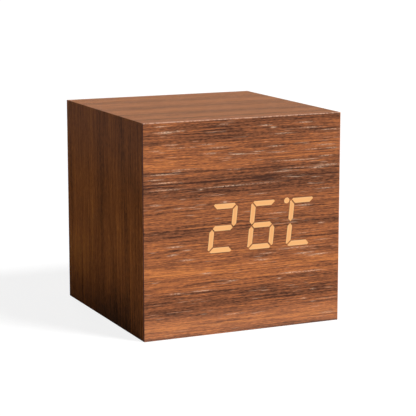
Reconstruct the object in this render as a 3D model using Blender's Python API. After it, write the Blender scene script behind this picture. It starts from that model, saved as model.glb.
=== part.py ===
"""A wooden cube alarm clock with a lit seven-segment display, in metres, +Z up.

The origin is on the ground below the middle of the cube. The display faces -Y and the buttons face +Y.
"""

import math

import bmesh
import bpy
from mathutils import Matrix, Vector

for item in list(bpy.data.objects):
    bpy.data.objects.remove(item, do_unlink=True)


# Gaps between pieces
FIT = 0.0001  # glued, soldered and screwed faces
RUN = 0.0003  # faces that slide past each other or drop into place
OVERRUN = 0.001  # how far a cutter runs past the face that it opens
LAP = 0.0002  # how far two shapes of one piece reach into each other
MERGE = 0.000001

# How finely round shapes are cut
SCREW_STEPS = 12
ROUND_STEPS = 24
HOLE_STEPS = 12
DOT_STEPS = 16

# Wood
WALL = 0.005
VENEER_T = 0.0006
FRONT_BOARD_T = 0.003
BACK_T = 0.005
BLOCK = 0.008
BLOCK_ROOM = 0.0004  # between a corner block and the battery tray
SIDE_ROOM = 0.0006  # between the case and the battery tray's ends
BOARD_EDGE = 0.0009  # wood left beside the display window

# Screws
SCREW_D = 0.002
SCREW_CLEARANCE = 0.00015
SCREW_TIP = 0.0006
PAN_D = 0.0036
PAN_H = 0.0013
PAN_DOME_SHARE = 0.6
FLAT_HEAD_D = 0.004
FLAT_HEAD_H = 0.0011
FLAT_HEAD_SINK = 0.0003
DRIVE_LENGTH = 0.0019
DRIVE_WIDTH = 0.0004
DRIVE_DEPTH = 0.0006
BACK_SCREW_BITE = 0.006
DISPLAY_SCREW_BITE = 0.0016
TRAY_SCREW_BITE = 0.0034

# Display, measured on the photograph against the digits' height
DIGIT_COUNT = 4
DIGIT_H = 0.0142
DIGIT_W = 0.0082
DIGIT_PITCH = 0.01243
DIGIT_SLANT = math.radians(6.0)
BAR_ACROSS = 0.00165
BAR_UPRIGHT = 0.0015
BAR_GAP = 0.0003
BAR_CHAMFER = 0.0005
COLON_R = 0.0008
COLON_RISE = 0.003
DEGREE_R = 0.00082
DEGREE_GAP = 0.00026  # between the fourth digit's edge and the dot
DEGREE_DOWN = 0.00065  # from the digits' top to the middle of the dot
DISPLAY_X = -0.00045
DISPLAY_BELOW_MIDDLE = 0.0002
WINDOW_CLEARANCE = 0.00006
BAR_CLEARANCE = 0.00005
LIT_BARS = ("", "abged", "afgecd", "afed")
ALL_BARS = "abcdefg"

# Display module
FRAME_EDGE_X = 0.0006
FRAME_EDGE_Z = 0.0019
MASK_DEPTH = 0.007
FLANGE_T = 0.0015
BOSS_D = 0.0044
BOSS_OUT = 0.001  # between the mask block and a boss
BOSS_EDGE = 0.0003  # between a boss and the flange's edge
WEB_T = 0.0004
LED_L = 0.0016
LED_W = 0.0008
LED_H = 0.0004
LED_ROOM = 0.0002
PCB_T = 0.0016

# Parts on the back of the display board: the coin cell at one side, then the chip, and at the other side
# the buzzer over the microphone and the crystal. Their heights are shares of half the board's height
PART_GAP = 0.0006
COIN_HEIGHT_SHARE = 0.0
CHIP_HEIGHT_SHARE = -0.07
MICROPHONE_HEIGHT_SHARE = -0.45
CRYSTAL_HEIGHT_SHARE = -0.38
RIBBON_HEIGHT_SHARE = 0.8
THERMISTOR_SHARES = (0.79, -0.65)
RED_LEAD_SHARES = (0.68, -0.83)
BLACK_LEAD_SHARES = (0.04, -0.86)
CHIP_END = 0.0002
CHIP_W = 0.0076
CHIP_T = 0.0024
CHIP_LEGS = 14
CHIP_LEG_PITCH = 0.00127
CHIP_LEG_W = 0.0004
CHIP_LEG_OUT = 0.0012
CHIP_LEG_H = 0.0009
COIN_D = 0.02
COIN_T = 0.0032
COIN_CHAMFER = 0.0003
HOLDER_WALL = 0.0008
HOLDER_CLIP_W = 0.004
HOLDER_CLIP_T = 0.0004
BUZZER_D = 0.012
BUZZER_H = 0.0085
BUZZER_HOLE_D = 0.002
BUZZER_HOLE_DEPTH = 0.003
MICROPHONE_D = 0.006
MICROPHONE_H = 0.0022
MICROPHONE_RIM = 0.0006
MICROPHONE_SINK = 0.0002
CRYSTAL_D = 0.002
CRYSTAL_L = 0.006
BEAD_D = 0.0018
BEAD_RISE = 0.002
BEAD_LEG = 0.0004
BEAD_LEG_PITCH = 0.001

# Controls in the back
BUTTON_NAMES = ("set", "up", "down")
BUTTON_PITCH = 0.009
BUTTON_D = 0.005
BUTTON_CHAMFER = 0.0003
BUTTON_PROUD = 0.0013
BUTTON_TRAVEL = 0.0003
BUTTON_FLANGE_D = 0.0068
BUTTON_FLANGE_T = 0.0008
ROW_GAP = 0.0084  # from the buttons' row down to the socket's axis
BEZEL_SINK = 0.002
BEZEL_T = 0.0015
BEZEL_WALL = 0.0012
BEZEL_ROOM = 0.0008  # inside the bezel, round what the board carries
BEZEL_FLANGE_OUT = 0.002
BEZEL_FLANGE_T = 0.0015
BUTTON_BOARD_T = 0.0012
SWITCH_W = 0.006
SWITCH_H = 0.0035
SWITCH_BORE_DEPTH = 0.002
PLUNGER_D = 0.0034
PLUNGER_ROOM = 0.00025  # between a plunger and its bore
PLUNGER_PROUD = 0.0008
PEG_D = 0.003
PEG_TIP_D = 0.0018
PEG_HEAD_D = 0.0032
PEG_HEAD_T = 0.0006
PEG_IN = 0.0027  # from the bezel's inner wall to a peg's axis
SOCKET_W = 0.0064
SOCKET_COLLAR_D = 0.0056
SOCKET_BORE_D = 0.0037
SOCKET_FLOOR = 0.0012
SOCKET_PIN_D = 0.00135
SOCKET_PIN_SINK = 0.0006
SOUND_HOLE_D = 0.0015
SOUND_RING_R = 0.0022
SOUND_RING_COUNT = 6

# Battery cells, size AAA, and their contacts
CELL_COUNT = 3
CELL_D = 0.0105
CELL_L = 0.0445
CELL_CHAMFER = 0.0003
NUB_D = 0.0038
NUB_H = 0.0008
CELL_GAP = 0.0004
CELL_SIDE_ROOM = 0.00035
PLATE_T = 0.0003
PLATE_HALF_W = 0.004
DIMPLE_D = 0.003
DIMPLE_H = 0.0005
SPRING_SPACE = 0.0029
SPRING_BASE_R = 0.0032
SPRING_TIP_R = 0.002
SPRING_WIRE_R = 0.00025
SPRING_TURNS = 2.5
SPRING_POINTS = 10
TAB_W = 0.003
TAB_RISE = 0.003  # above the tray's roof

# Battery tray and door
TRAY_WALL = 0.001
TRAY_RIM = 0.0002  # above the ground
DOOR_SINK = 0.0006  # above the tray's rim
DOOR_T = 0.0016
CELL_REST = 0.0004
ROOF_ROOM = 0.0003
RIB_W = 0.0012
RIB_DEPTH = 0.002
STOP_W = 0.005
STOP_OUT = 0.0008
STOP_H = 0.0009
EAR_W = 0.008
EAR_OUT = 0.0062
EAR_T = 0.0015
EAR_HOLE_OUT = 0.0034
HINGE_PIN_D = 0.001
HINGE_CLEARANCE = 0.0001
HINGE_PIN_L = 0.0009
TONGUE_W = 0.006
TONGUE_T = 0.0008
TONGUE_H = 0.0022
HOOK_OUT = 0.00015
HOOK_H = 0.0006
HOOK_DOWN = 0.0002  # from the tongue's top to the hook's top
NOTCH_ROOM = 0.0004
FINGER_W = 0.012
FINGER_OUT = 0.003
FINGER_H = 0.0024
GRIP_COUNT = 3
GRIP_W = 0.0008
GRIP_PITCH = 0.0016
GRIP_L = 0.012
GRIP_DEPTH = 0.0003
GRIP_IN = 0.003  # from the door's front edge to the first groove

# Wires
LEAD_R = 0.00065
RED_ROUTE_SHARES = (
    (0, 0, 0),
    (0.28, 0.02, 0),
    (0.68, 0.19, 0.13),
    (0.94, 0.48, 0.45),
    (1, 0.75, 1),
    (1, 1, 1),
)
BLACK_ROUTE_SHARES = (
    (0, 0, 0),
    (0.12, 0.01, 0),
    (0.39, 0.19, 0),
    (0.7, 0.51, 0),
    (0.92, 0.79, 0.3),
    (1, 0.93, 1),
    (1, 1, 1),
)
RIBBON_W = 0.0076
RIBBON_T = 0.0009
RIBBON_SAG = 0.005
RIBBON_POINTS = 8
RIBBON_BOARD_SHARE = 0.62

# Battery bay, worked out from the cells
SCREW_R = SCREW_D / 2
SCREW_HOLE_R = SCREW_R + SCREW_CLEARANCE
CELL_R = CELL_D / 2
CELL_PITCH = CELL_D + CELL_GAP
BAY_X = (CELL_L + SPRING_SPACE + DIMPLE_H + FIT) / 2 + PLATE_T + FIT
BAY_Y = (CELL_COUNT * CELL_D + (CELL_COUNT - 1) * CELL_GAP) / 2 + CELL_SIDE_ROOM
TRAY_X = BAY_X + TRAY_WALL
TRAY_Y = BAY_Y + TRAY_WALL
PLATE_X = BAY_X - FIT - PLATE_T
DOOR_Z = TRAY_RIM + DOOR_SINK
DOOR_TOP = DOOR_Z + DOOR_T
CELL_Z = DOOR_TOP + CELL_REST + CELL_R
ROOF_Z = CELL_Z + CELL_R + ROOF_ROOM
TRAY_TOP = ROOF_Z + TRAY_WALL

# Display outline, worked out from the digits and from the parts on the board behind them
SLANT = math.tan(DIGIT_SLANT)
HOLDER_R = COIN_D / 2 + LAP + HOLDER_WALL
CHIP_L = CHIP_LEGS * CHIP_LEG_PITCH + CHIP_END
CHIP_SPAN = CHIP_W + 2 * CHIP_LEG_OUT
WIDTH_FOR_DIGITS = (DIGIT_COUNT - 1) * DIGIT_PITCH + DIGIT_W + DIGIT_H * SLANT + 2 * FRAME_EDGE_X
WIDTH_FOR_PARTS = 2 * HOLDER_R + CHIP_SPAN + BUZZER_D + 4 * PART_GAP
FRAME_W = max(WIDTH_FOR_DIGITS, WIDTH_FOR_PARTS)
FRAME_H = DIGIT_H + 2 * FRAME_EDGE_Z
BOSS_X = (FRAME_W - BOSS_D) / 2 - BOSS_EDGE
BOSS_Z = FRAME_H / 2 + BOSS_OUT + BOSS_D / 2
PCB_H = 2 * (BOSS_Z + BOSS_EDGE) + BOSS_D

# The cube is just large enough, each way, for what it holds: the battery tray between its side walls,
# the tray between its corner blocks, and the display module between its side walls and over the tray
WIDTH_FOR_TRAY = 2 * (TRAY_X + SIDE_ROOM + WALL)
DEPTH_FOR_TRAY = 2 * (TRAY_Y + BLOCK_ROOM + BLOCK + FIT + BACK_T)
WIDTH_FOR_DISPLAY = FRAME_W + 2 * (abs(DISPLAY_X) + RUN + BOARD_EDGE + FIT + WALL)
HEIGHT_FOR_DISPLAY = 2 * (TRAY_TOP + BOARD_EDGE + PCB_H / 2 + DISPLAY_BELOW_MIDDLE)
CUBE = max(WIDTH_FOR_TRAY, DEPTH_FOR_TRAY, WIDTH_FOR_DISPLAY, HEIGHT_FOR_DISPLAY)
HALF = CUBE / 2
INSIDE = HALF - WALL
PANEL = INSIDE - FIT  # half the width of a panel that fits between the walls

# Planes from the front to the back
VENEER_BACK = VENEER_T - HALF
WOOD_FRONT = VENEER_BACK + FIT
FRONT_BOARD_BACK = WOOD_FRONT + FRONT_BOARD_T
FLANGE_FRONT = FRONT_BOARD_BACK + FIT
MASK_BACK = WOOD_FRONT + MASK_DEPTH
WEB_FRONT = MASK_BACK + FIT
WEB_BACK = WEB_FRONT + WEB_T
PCB_FRONT = WEB_BACK + LED_ROOM + LED_H
PCB_BACK = PCB_FRONT + PCB_T
ON_PCB = PCB_BACK + FIT
BACK_INNER = HALF - BACK_T
BEZEL_FACE = HALF - BEZEL_SINK
BEZEL_INNER = BEZEL_FACE - BEZEL_T
BUTTON_FLANGE_TOP = BEZEL_INNER - RUN
BUTTON_BASE = BUTTON_FLANGE_TOP - BUTTON_FLANGE_T
PLUNGER_TOP = BUTTON_BASE - FIT
SWITCH_TOP = PLUNGER_TOP - PLUNGER_PROUD
BUTTON_BOARD_BACK = SWITCH_TOP - SWITCH_H - FIT
BUTTON_BOARD_FRONT = BUTTON_BOARD_BACK - BUTTON_BOARD_T

# Heights
DISPLAY_Z = HALF - DISPLAY_BELOW_MIDDLE
CEILING = CUBE - WALL
BEZEL_Z = HALF
BEZEL_INSIDE_W = (len(BUTTON_NAMES) - 1) * BUTTON_PITCH + BUTTON_FLANGE_D + 2 * BEZEL_ROOM
BEZEL_INSIDE_H = BUTTON_FLANGE_D / 2 + ROW_GAP + SOCKET_W / 2 + 2 * BEZEL_ROOM
BEZEL_W = BEZEL_INSIDE_W + 2 * BEZEL_WALL
BEZEL_H = BEZEL_INSIDE_H + 2 * BEZEL_WALL
BUTTON_Z = BEZEL_Z + BEZEL_INSIDE_H / 2 - BEZEL_ROOM - BUTTON_FLANGE_D / 2
SOCKET_Z = BUTTON_Z - ROW_GAP

# Places on the back of the display board
HALF_BOARD = PCB_H / 2
COIN_X = DISPLAY_X - FRAME_W / 2 + PART_GAP + HOLDER_R
COIN_Z = DISPLAY_Z + COIN_HEIGHT_SHARE * HALF_BOARD
CHIP_X = COIN_X + HOLDER_R + PART_GAP + CHIP_SPAN / 2
CHIP_Z = DISPLAY_Z + CHIP_HEIGHT_SHARE * HALF_BOARD
MICROPHONE_X = CHIP_X + CHIP_SPAN / 2 + PART_GAP + MICROPHONE_D / 2
MICROPHONE_Z = DISPLAY_Z + MICROPHONE_HEIGHT_SHARE * HALF_BOARD
CRYSTAL_X = MICROPHONE_X + MICROPHONE_D / 2 + PART_GAP
CRYSTAL_Z = DISPLAY_Z + CRYSTAL_HEIGHT_SHARE * HALF_BOARD
BUZZER_X = DISPLAY_X + FRAME_W / 2 - PART_GAP - BUZZER_D / 2
BUZZER_Z = MICROPHONE_Z + MICROPHONE_D / 2 + PART_GAP + BUZZER_D / 2
RIBBON_Z = DISPLAY_Z + RIBBON_HEIGHT_SHARE * HALF_BOARD

# The door's hinge
DOOR_X = BAY_X - RUN
DOOR_FRONT = RUN - BAY_Y
HINGE_Y = BAY_Y - RUN - DOOR_T / 2
HINGE_Z = DOOR_Z + DOOR_T / 2

# Directions, and how a flat outline's two coordinates and its depth become x, y and z
X_AXIS = Vector((1, 0, 0))
Y_AXIS = Vector((0, 1, 0))
Z_AXIS = Vector((0, 0, 1))
FULL_TURN = 2 * math.pi
SHARP = math.radians(35)


def along_x(y, z, depth):
    return (depth, y, z)


def along_y(x, z, depth):
    return (x, depth, z)


# Finishes: sRGB colour from 0 to 255, roughness, metallic
WALNUT = ((149, 92, 62), 0.55, 0.0)
WALNUT_TOP = ((160, 112, 84), 0.55, 0.0)
WALNUT_SIDE = ((120, 72, 46), 0.55, 0.0)
FIBREBOARD = ((150, 116, 80), 0.85, 0.0)
PINE = ((196, 160, 112), 0.8, 0.0)
LIT = ((253, 200, 125), 0.4, 0.0)
DIFFUSER = ((226, 222, 208), 0.4, 0.0)
BLACK_PLASTIC = ((24, 24, 25), 0.5, 0.0)
WHITE_PLASTIC = ((222, 220, 212), 0.45, 0.0)
BOARD_GREEN = ((28, 84, 52), 0.45, 0.0)
STEEL = ((176, 176, 178), 0.3, 1.0)
NICKEL = ((198, 194, 184), 0.28, 1.0)
CHIP_BLACK = ((30, 30, 32), 0.6, 0.0)
CELL_JACKET = ((52, 92, 74), 0.35, 0.0)
RED_WIRE = ((170, 28, 24), 0.5, 0.0)
BLACK_WIRE = ((22, 22, 22), 0.5, 0.0)
GREY_WIRE = ((128, 130, 134), 0.5, 0.0)


def linear(level):
    share = level / 255
    return share / 12.92 if share <= 0.04045 else ((share + 0.055) / 1.055) ** 2.4


def material(name, finish):
    colour, roughness, metallic = finish
    made = bpy.data.materials.new(name)
    made.use_nodes = True
    shader = made.node_tree.nodes["Principled BSDF"]
    shader.inputs["Base Color"].default_value = (*map(linear, colour), 1)
    shader.inputs["Roughness"].default_value = roughness
    shader.inputs["Metallic"].default_value = metallic
    return made


def span(middle, width):
    return (middle - width / 2, middle + width / 2)


def both(half):
    return (-half, half)


def block(x, y, z):
    """A box, from the low and the high end of each side."""
    shape = bmesh.new()
    bmesh.ops.create_cube(shape, size=1)
    low, high = (Vector(ends) for ends in zip(x, y, z))
    bmesh.ops.scale(shape, verts=shape.verts, vec=high - low)
    bmesh.ops.translate(shape, verts=shape.verts, vec=(low + high) / 2)
    return shape


def prism(outline, ends, place):
    """A flat outline pushed from one end to the other along the direction of place."""
    shape = bmesh.new()
    near, far = ends
    face = shape.faces.new([shape.verts.new(place(u, v, near)) for u, v in outline])
    pushed = bmesh.ops.extrude_face_region(shape, geom=[face])["geom"]
    moved = [part for part in pushed if isinstance(part, bmesh.types.BMVert)]
    bmesh.ops.translate(shape, verts=moved, vec=Vector(place(0, 0, far - near)))
    bmesh.ops.recalc_face_normals(shape, faces=shape.faces)
    return shape


def turned(profile, centre, axis, steps=ROUND_STEPS):
    """A solid of revolution. The profile is (radius, distance along the axis), from pole to pole."""
    shape = bmesh.new()
    points = [shape.verts.new((radius, 0, along)) for radius, along in profile]
    edges = [shape.edges.new(pair) for pair in zip(points, points[1:])]
    drawn = points + edges
    bmesh.ops.spin(
        shape, geom=drawn, cent=(0, 0, 0), axis=Z_AXIS, angle=FULL_TURN, steps=steps, use_merge=True
    )
    bmesh.ops.remove_doubles(shape, verts=shape.verts, dist=MERGE)
    bmesh.ops.recalc_face_normals(shape, faces=shape.faces)
    turn = Z_AXIS.rotation_difference(Vector(axis)).to_matrix().to_4x4()
    bmesh.ops.transform(shape, matrix=Matrix.Translation(centre) @ turn, verts=shape.verts)
    return shape


def rod(radius, ends, centre, axis, steps=HOLE_STEPS):
    """A plain round bar or hole, between two distances from centre along its axis."""
    near, far = ends
    return turned([(0, near), (radius, near), (radius, far), (0, far)], centre, axis, steps)


def round_outline(u, v, radius, steps=DOT_STEPS):
    turns = [FULL_TURN * step / steps for step in range(steps)]
    return [(u + radius * math.cos(turn), v + radius * math.sin(turn)) for turn in turns]


def mesh_of(name, shapes):
    """One mesh that holds all the shapes given, which are used up."""
    mesh = bpy.data.meshes.new(name)
    whole = bmesh.new()
    for shape in shapes:
        shape.to_mesh(mesh)
        shape.free()
        whole.from_mesh(mesh)
    whole.to_mesh(mesh)
    whole.free()
    return mesh


def show(name, mesh, origin=(0, 0, 0), turn=(0, 0, 0)):
    piece = bpy.data.objects.new(name, mesh)
    piece.location = origin
    piece.rotation_euler = turn
    bpy.context.scene.collection.objects.link(piece)
    return piece


def smooth(mesh):
    mesh.shade_smooth()
    mesh.set_sharp_from_angle(angle=SHARP)


def solid(name, shape, finish, origin=(0, 0, 0)):
    """A piece of the clock. Its shape is given in place, and its origin is where a moving piece turns."""
    bmesh.ops.translate(shape, verts=shape.verts, vec=-Vector(origin))
    mesh = mesh_of(name, [shape])
    smooth(mesh)
    mesh.materials.append(material(name, finish))
    return show(name, mesh, origin)


def tool(name, shapes):
    """A hidden helper that is cut out of a piece or joined to it."""
    helper = show(name, mesh_of(name, shapes))
    helper.hide_render = True
    helper.display_type = "WIRE"
    return helper


def change(piece, operation, label, shapes):
    helper = tool(f"{piece.name}_{label}", shapes)
    step = piece.modifiers.new(label, "BOOLEAN")
    step.operation = operation
    step.solver = "EXACT"
    step.object = helper


def cut(piece, label, *shapes):
    change(piece, "DIFFERENCE", label, shapes)


def join(piece, label, *shapes):
    change(piece, "UNION", label, shapes)


# Wooden case


def mitred(low, high):
    """A wall's cross-section, seen along Y, with the outer face at low and both ends mitred."""
    inner = low + WALL
    return [(low + FIT, low), (high - FIT, low), (high - WALL - FIT, inner), (inner + FIT, inner)]


def case_wall(name, finish, turn):
    """One of the four walls: the lower wall's section, turned about the middle of the cube."""
    middle = Vector((0, 0, HALF))
    shape = prism(mitred(-HALF, HALF), (WOOD_FRONT, HALF), along_y)
    about = Matrix.Translation(middle) @ Matrix.Rotation(turn, 4, "Y")
    bmesh.ops.transform(shape, matrix=about, verts=shape.verts)
    return solid(name, shape, finish)


def case_walls():
    quarter = FULL_TURN / 4
    case_wall("case_left", WALNUT_SIDE, quarter)
    case_wall("case_top", WALNUT_TOP, 2 * quarter)
    case_wall("case_right", WALNUT_SIDE, -quarter)
    bottom = case_wall("case_bottom", WALNUT_SIDE, 0)
    opening = block(both(TRAY_X + FIT), both(TRAY_Y + FIT), (-OVERRUN, WALL + OVERRUN))
    scoop_outline = [
        (-TRAY_Y, -OVERRUN),
        (-TRAY_Y, DOOR_Z + FINGER_H),
        (-TRAY_Y - FIT, DOOR_Z + FINGER_H),
        (-TRAY_Y - FIT - FINGER_OUT, 0),
        (-TRAY_Y - FIT - FINGER_OUT, -OVERRUN),
    ]
    scoop = prism(scoop_outline, both(FINGER_W / 2), along_x)
    depth = (-TRAY_SCREW_BITE - RUN, OVERRUN)
    pilots = [rod(SCREW_HOLE_R, depth, (0, y, WALL), Z_AXIS) for y in tray_screw_places()]
    cut(bottom, "tray_opening", opening)
    cut(bottom, "finger_scoop", scoop)
    cut(bottom, "pilot_holes", *pilots)


def front_veneer():
    veneer = solid("front_veneer", block(both(HALF), (-HALF, VENEER_BACK), (0, CUBE)), WALNUT)
    depth = (-HALF - OVERRUN, VENEER_BACK + OVERRUN)
    lit = [outline for name, outline in display_outlines(WINDOW_CLEARANCE) if is_lit(name)]
    cut(veneer, "lit_windows", *(prism(outline, depth, along_y) for outline in lit))


def front_board():
    board = block(both(PANEL), (WOOD_FRONT, FRONT_BOARD_BACK), (WALL + FIT, CEILING - FIT))
    board = solid("front_board", board, FIBREBOARD)
    window = block(
        span(DISPLAY_X, FRAME_W + 2 * RUN),
        (WOOD_FRONT - OVERRUN, FRONT_BOARD_BACK + OVERRUN),
        span(DISPLAY_Z, FRAME_H + 2 * RUN),
    )
    depth = (-DISPLAY_SCREW_BITE - RUN, OVERRUN)
    pilots = [rod(SCREW_HOLE_R, depth, (x, FRONT_BOARD_BACK, z), Y_AXIS) for x, z in display_screw_places()]
    cut(board, "display_window", window)
    cut(board, "pilot_holes", *pilots)


def back_panel():
    panel = block(both(PANEL), (BACK_INNER, HALF), (WALL + FIT, CEILING - FIT))
    panel = solid("back_panel", panel, WALNUT_SIDE)
    through = (BACK_INNER - OVERRUN, HALF + OVERRUN)
    window = block(span(0, BEZEL_W + 2 * RUN), through, span(BEZEL_Z, BEZEL_H + 2 * RUN))
    cut(panel, "control_window", window)
    head = HALF - FLAT_HEAD_SINK
    cut(panel, "screw_holes", *(flat_head_hole((x, head, z)) for x, z in back_screw_places()))
    flange_top = BEZEL_Z + BEZEL_H / 2 + BEZEL_FLANGE_OUT
    batten_bottom = CEILING - FIT - BLOCK
    middle = (flange_top + batten_bottom) / 2
    ring = round_outline(0, middle, SOUND_RING_R, SOUND_RING_COUNT)
    holes = [rod(SOUND_HOLE_D / 2, through, (x, 0, z), Y_AXIS) for x, z in [(0, middle), *ring]]
    cut(panel, "sound_holes", *holes)


def back_blocks():
    """The batten under the top and the two lower corner blocks that the back panel is screwed to."""
    depth = (BACK_INNER - FIT - BLOCK, BACK_INNER - FIT)
    low = (WALL + FIT, WALL + FIT + BLOCK)
    high = (CEILING - FIT - BLOCK, CEILING - FIT)
    pieces = (
        ("upper_batten", both(PANEL), high),
        ("lower_left_block", (-PANEL, BLOCK - PANEL), low),
        ("lower_right_block", (PANEL - BLOCK, PANEL), low),
    )
    for name, x, z in pieces:
        piece = solid(name, block(x, depth, z), PINE)
        within = [(u, v) for u, v in back_screw_places() if x[0] < u < x[1] and z[0] < v < z[1]]
        ends = (-BLOCK - OVERRUN, OVERRUN)
        holes = [rod(SCREW_HOLE_R, ends, (u, BACK_INNER - FIT, v), Y_AXIS) for u, v in within]
        cut(piece, "pilot_holes", *holes)


# Screws


def cross_outline():
    """The plus-shaped outline of a screw's drive."""
    arm, half = DRIVE_LENGTH / 2, DRIVE_WIDTH / 2
    corner = [(arm, -half), (arm, half), (half, half)]
    points = []
    for quarter in range(4):
        turn = Matrix.Rotation(quarter * FULL_TURN / 4, 2)
        points += [tuple(turn @ Vector(point)) for point in corner]
    return points


def screw_mesh(name, profile, top):
    """A screw along Z with its head up, its drive already cut, to be shared by its copies."""
    screw = show(name, mesh_of(name, [turned(profile, (0, 0, 0), Z_AXIS, SCREW_STEPS)]))
    drive = prism(cross_outline(), (top - DRIVE_DEPTH, top + OVERRUN), lambda u, v, depth: (u, v, depth))
    cut(screw, "drive", drive)
    bpy.context.view_layer.update()
    mesh = bpy.data.meshes.new_from_object(screw.evaluated_get(bpy.context.evaluated_depsgraph_get()))
    bpy.data.objects.remove(bpy.data.objects[f"{name}_drive"], do_unlink=True)
    bpy.data.objects.remove(screw, do_unlink=True)
    smooth(mesh)
    mesh.materials.append(material(name, STEEL))
    return mesh


def pan_screw_mesh(name, length):
    """The seat of the head is at zero."""
    head = PAN_D / 2
    dome = PAN_H * PAN_DOME_SHARE
    profile = [
        (0, PAN_H),
        (head * PAN_DOME_SHARE, PAN_H),
        (head, dome),
        (head, 0),
        (SCREW_R, 0),
        (SCREW_R, SCREW_TIP - length),
        (0, -length),
    ]
    return screw_mesh(name, profile, PAN_H)


def flat_head_profile(length, grow):
    """The top of the head is at zero."""
    head = FLAT_HEAD_D / 2 + grow
    shank = SCREW_R + grow
    return [(0, 0), (head, 0), (shank, -FLAT_HEAD_H), (shank, SCREW_TIP - length), (0, -length)]


def flat_head_hole(place):
    """The countersunk hole through the back panel, open at both ends."""
    profile = flat_head_profile(2 * BACK_T, SCREW_CLEARANCE)
    head = profile[1][0]
    return turned([(0, OVERRUN), (head, OVERRUN)] + profile[1:], place, Y_AXIS, SCREW_STEPS)


def back_screw_places():
    x = PANEL - BLOCK / 2
    low = WALL + FIT + BLOCK / 2
    return [(-x, low), (x, low), (-x, CUBE - low), (x, CUBE - low)]


def display_screw_places():
    sides = [(-1, -1), (1, -1), (-1, 1), (1, 1)]
    return [(DISPLAY_X + side * BOSS_X, DISPLAY_Z + end * BOSS_Z) for side, end in sides]


def tray_screw_places():
    return [-TRAY_Y - EAR_HOLE_OUT, TRAY_Y + EAR_HOLE_OUT]


def screws():
    backwards = (-FULL_TURN / 4, 0, 0)
    length = BACK_T - FLAT_HEAD_SINK + FIT + BACK_SCREW_BITE
    mesh = screw_mesh("back_screw", flat_head_profile(length, 0), 0)
    for number, (x, z) in enumerate(back_screw_places(), 1):
        show(f"back_screw_{number}", mesh, (x, HALF - FLAT_HEAD_SINK, z), backwards)
    mesh = pan_screw_mesh("display_screw", ON_PCB - FRONT_BOARD_BACK + DISPLAY_SCREW_BITE)
    for number, (x, z) in enumerate(display_screw_places(), 1):
        show(f"display_screw_{number}", mesh, (x, ON_PCB, z), backwards)
    seat = WALL + FIT + EAR_T + FIT
    mesh = pan_screw_mesh("tray_screw", seat - WALL + TRAY_SCREW_BITE)
    for number, y in enumerate(tray_screw_places(), 1):
        show(f"tray_screw_{number}", mesh, (0, y, seat))


# Display


def bar_outline(letter, grow):
    """The outline of one bar about the middle of its digit, before the slant, grown all round by grow."""
    w = DIGIT_W / 2 + grow
    h = DIGIT_H / 2 + grow
    across = BAR_ACROSS + 2 * grow
    upright = BAR_UPRIGHT + 2 * grow
    off = (BAR_GAP - 2 * grow) / math.sqrt(2)
    tip = BAR_CHAMFER
    if letter in "ad":
        half = [(w - off - 2 * tip, h), (w - off - tip, h - tip), (w - off - across, h - across)]
        points = half + [(-u, v) for u, v in reversed(half)]
    elif letter == "g":
        half = [(w - upright / 2 - off - across / 2, across / 2), (w - upright / 2 - off, 0)]
        top = [(-u, v) for u, v in reversed(half)] + half[:1]
        points = top + [(-u, -v) for u, v in top]
    else:
        points = [
            (w - tip, h - off - tip),
            (w, h - off - 2 * tip),
            (w, off + upright / 2),
            (w - upright / 2, off),
            (w - upright, off + upright / 2),
            (w - upright, h - off - upright),
        ]
    across_sign = -1 if letter in "ef" else 1
    up_sign = -1 if letter in "cde" else 1
    return [(across_sign * u, up_sign * v) for u, v in points]


def slanted(outline, middle):
    """An outline about a digit's middle, leaned over and moved to its place on the front."""
    return [(middle + u + v * SLANT, DISPLAY_Z + v) for u, v in outline]


def digit_middles():
    first = DISPLAY_X - (DIGIT_COUNT - 1) * DIGIT_PITCH / 2
    return [first + digit * DIGIT_PITCH for digit in range(DIGIT_COUNT)]


def dot_outlines(grow):
    colon = [slanted(round_outline(0, rise, COLON_R + grow), DISPLAY_X) for rise in both(COLON_RISE)]
    degree = round_outline(-DIGIT_W / 2 - DEGREE_GAP - DEGREE_R, DIGIT_H / 2 - DEGREE_DOWN, DEGREE_R + grow)
    degree = slanted(degree, digit_middles()[-1])
    return [("colon_lower", colon[0]), ("colon_upper", colon[1]), ("degree", degree)]


def display_outlines(grow):
    """Each bar and dot of the display, as its name and its outline on the front."""
    digits = [
        (f"{digit}{letter}", slanted(bar_outline(letter, grow), middle))
        for digit, middle in enumerate(digit_middles())
        for letter in ALL_BARS
    ]
    return digits + dot_outlines(grow)


def is_lit(name):
    return name == "degree" or (name[0].isdigit() and name[1] in LIT_BARS[int(name[0])])


def display_frame():
    """The black mask that stands in the front board's window, with its flange and screw bosses behind."""
    mask = block(span(DISPLAY_X, FRAME_W), (WOOD_FRONT, MASK_BACK), span(DISPLAY_Z, FRAME_H))
    frame = solid("display_frame", mask, BLACK_PLASTIC)
    flange_back = FLANGE_FRONT + FLANGE_T
    flange = block(span(DISPLAY_X, FRAME_W), (FLANGE_FRONT, flange_back), span(DISPLAY_Z, PCB_H))
    behind_flange = (flange_back - LAP, PCB_FRONT - FIT)
    places = display_screw_places()
    bosses = [rod(BOSS_D / 2, behind_flange, (x, 0, z), Y_AXIS, DOT_STEPS) for x, z in places]
    depth = (WOOD_FRONT - OVERRUN, MASK_BACK + OVERRUN)
    bar_holes = [prism(outline, depth, along_y) for _, outline in display_outlines(BAR_CLEARANCE)]
    through = (FLANGE_FRONT - OVERRUN, PCB_FRONT + OVERRUN)
    screw_holes = [rod(SCREW_HOLE_R, through, (x, 0, z), Y_AXIS) for x, z in places]
    join(frame, "flange", flange)
    join(frame, "bosses", *bosses)
    cut(frame, "bar_holes", *bar_holes)
    cut(frame, "screw_holes", *screw_holes)


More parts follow.
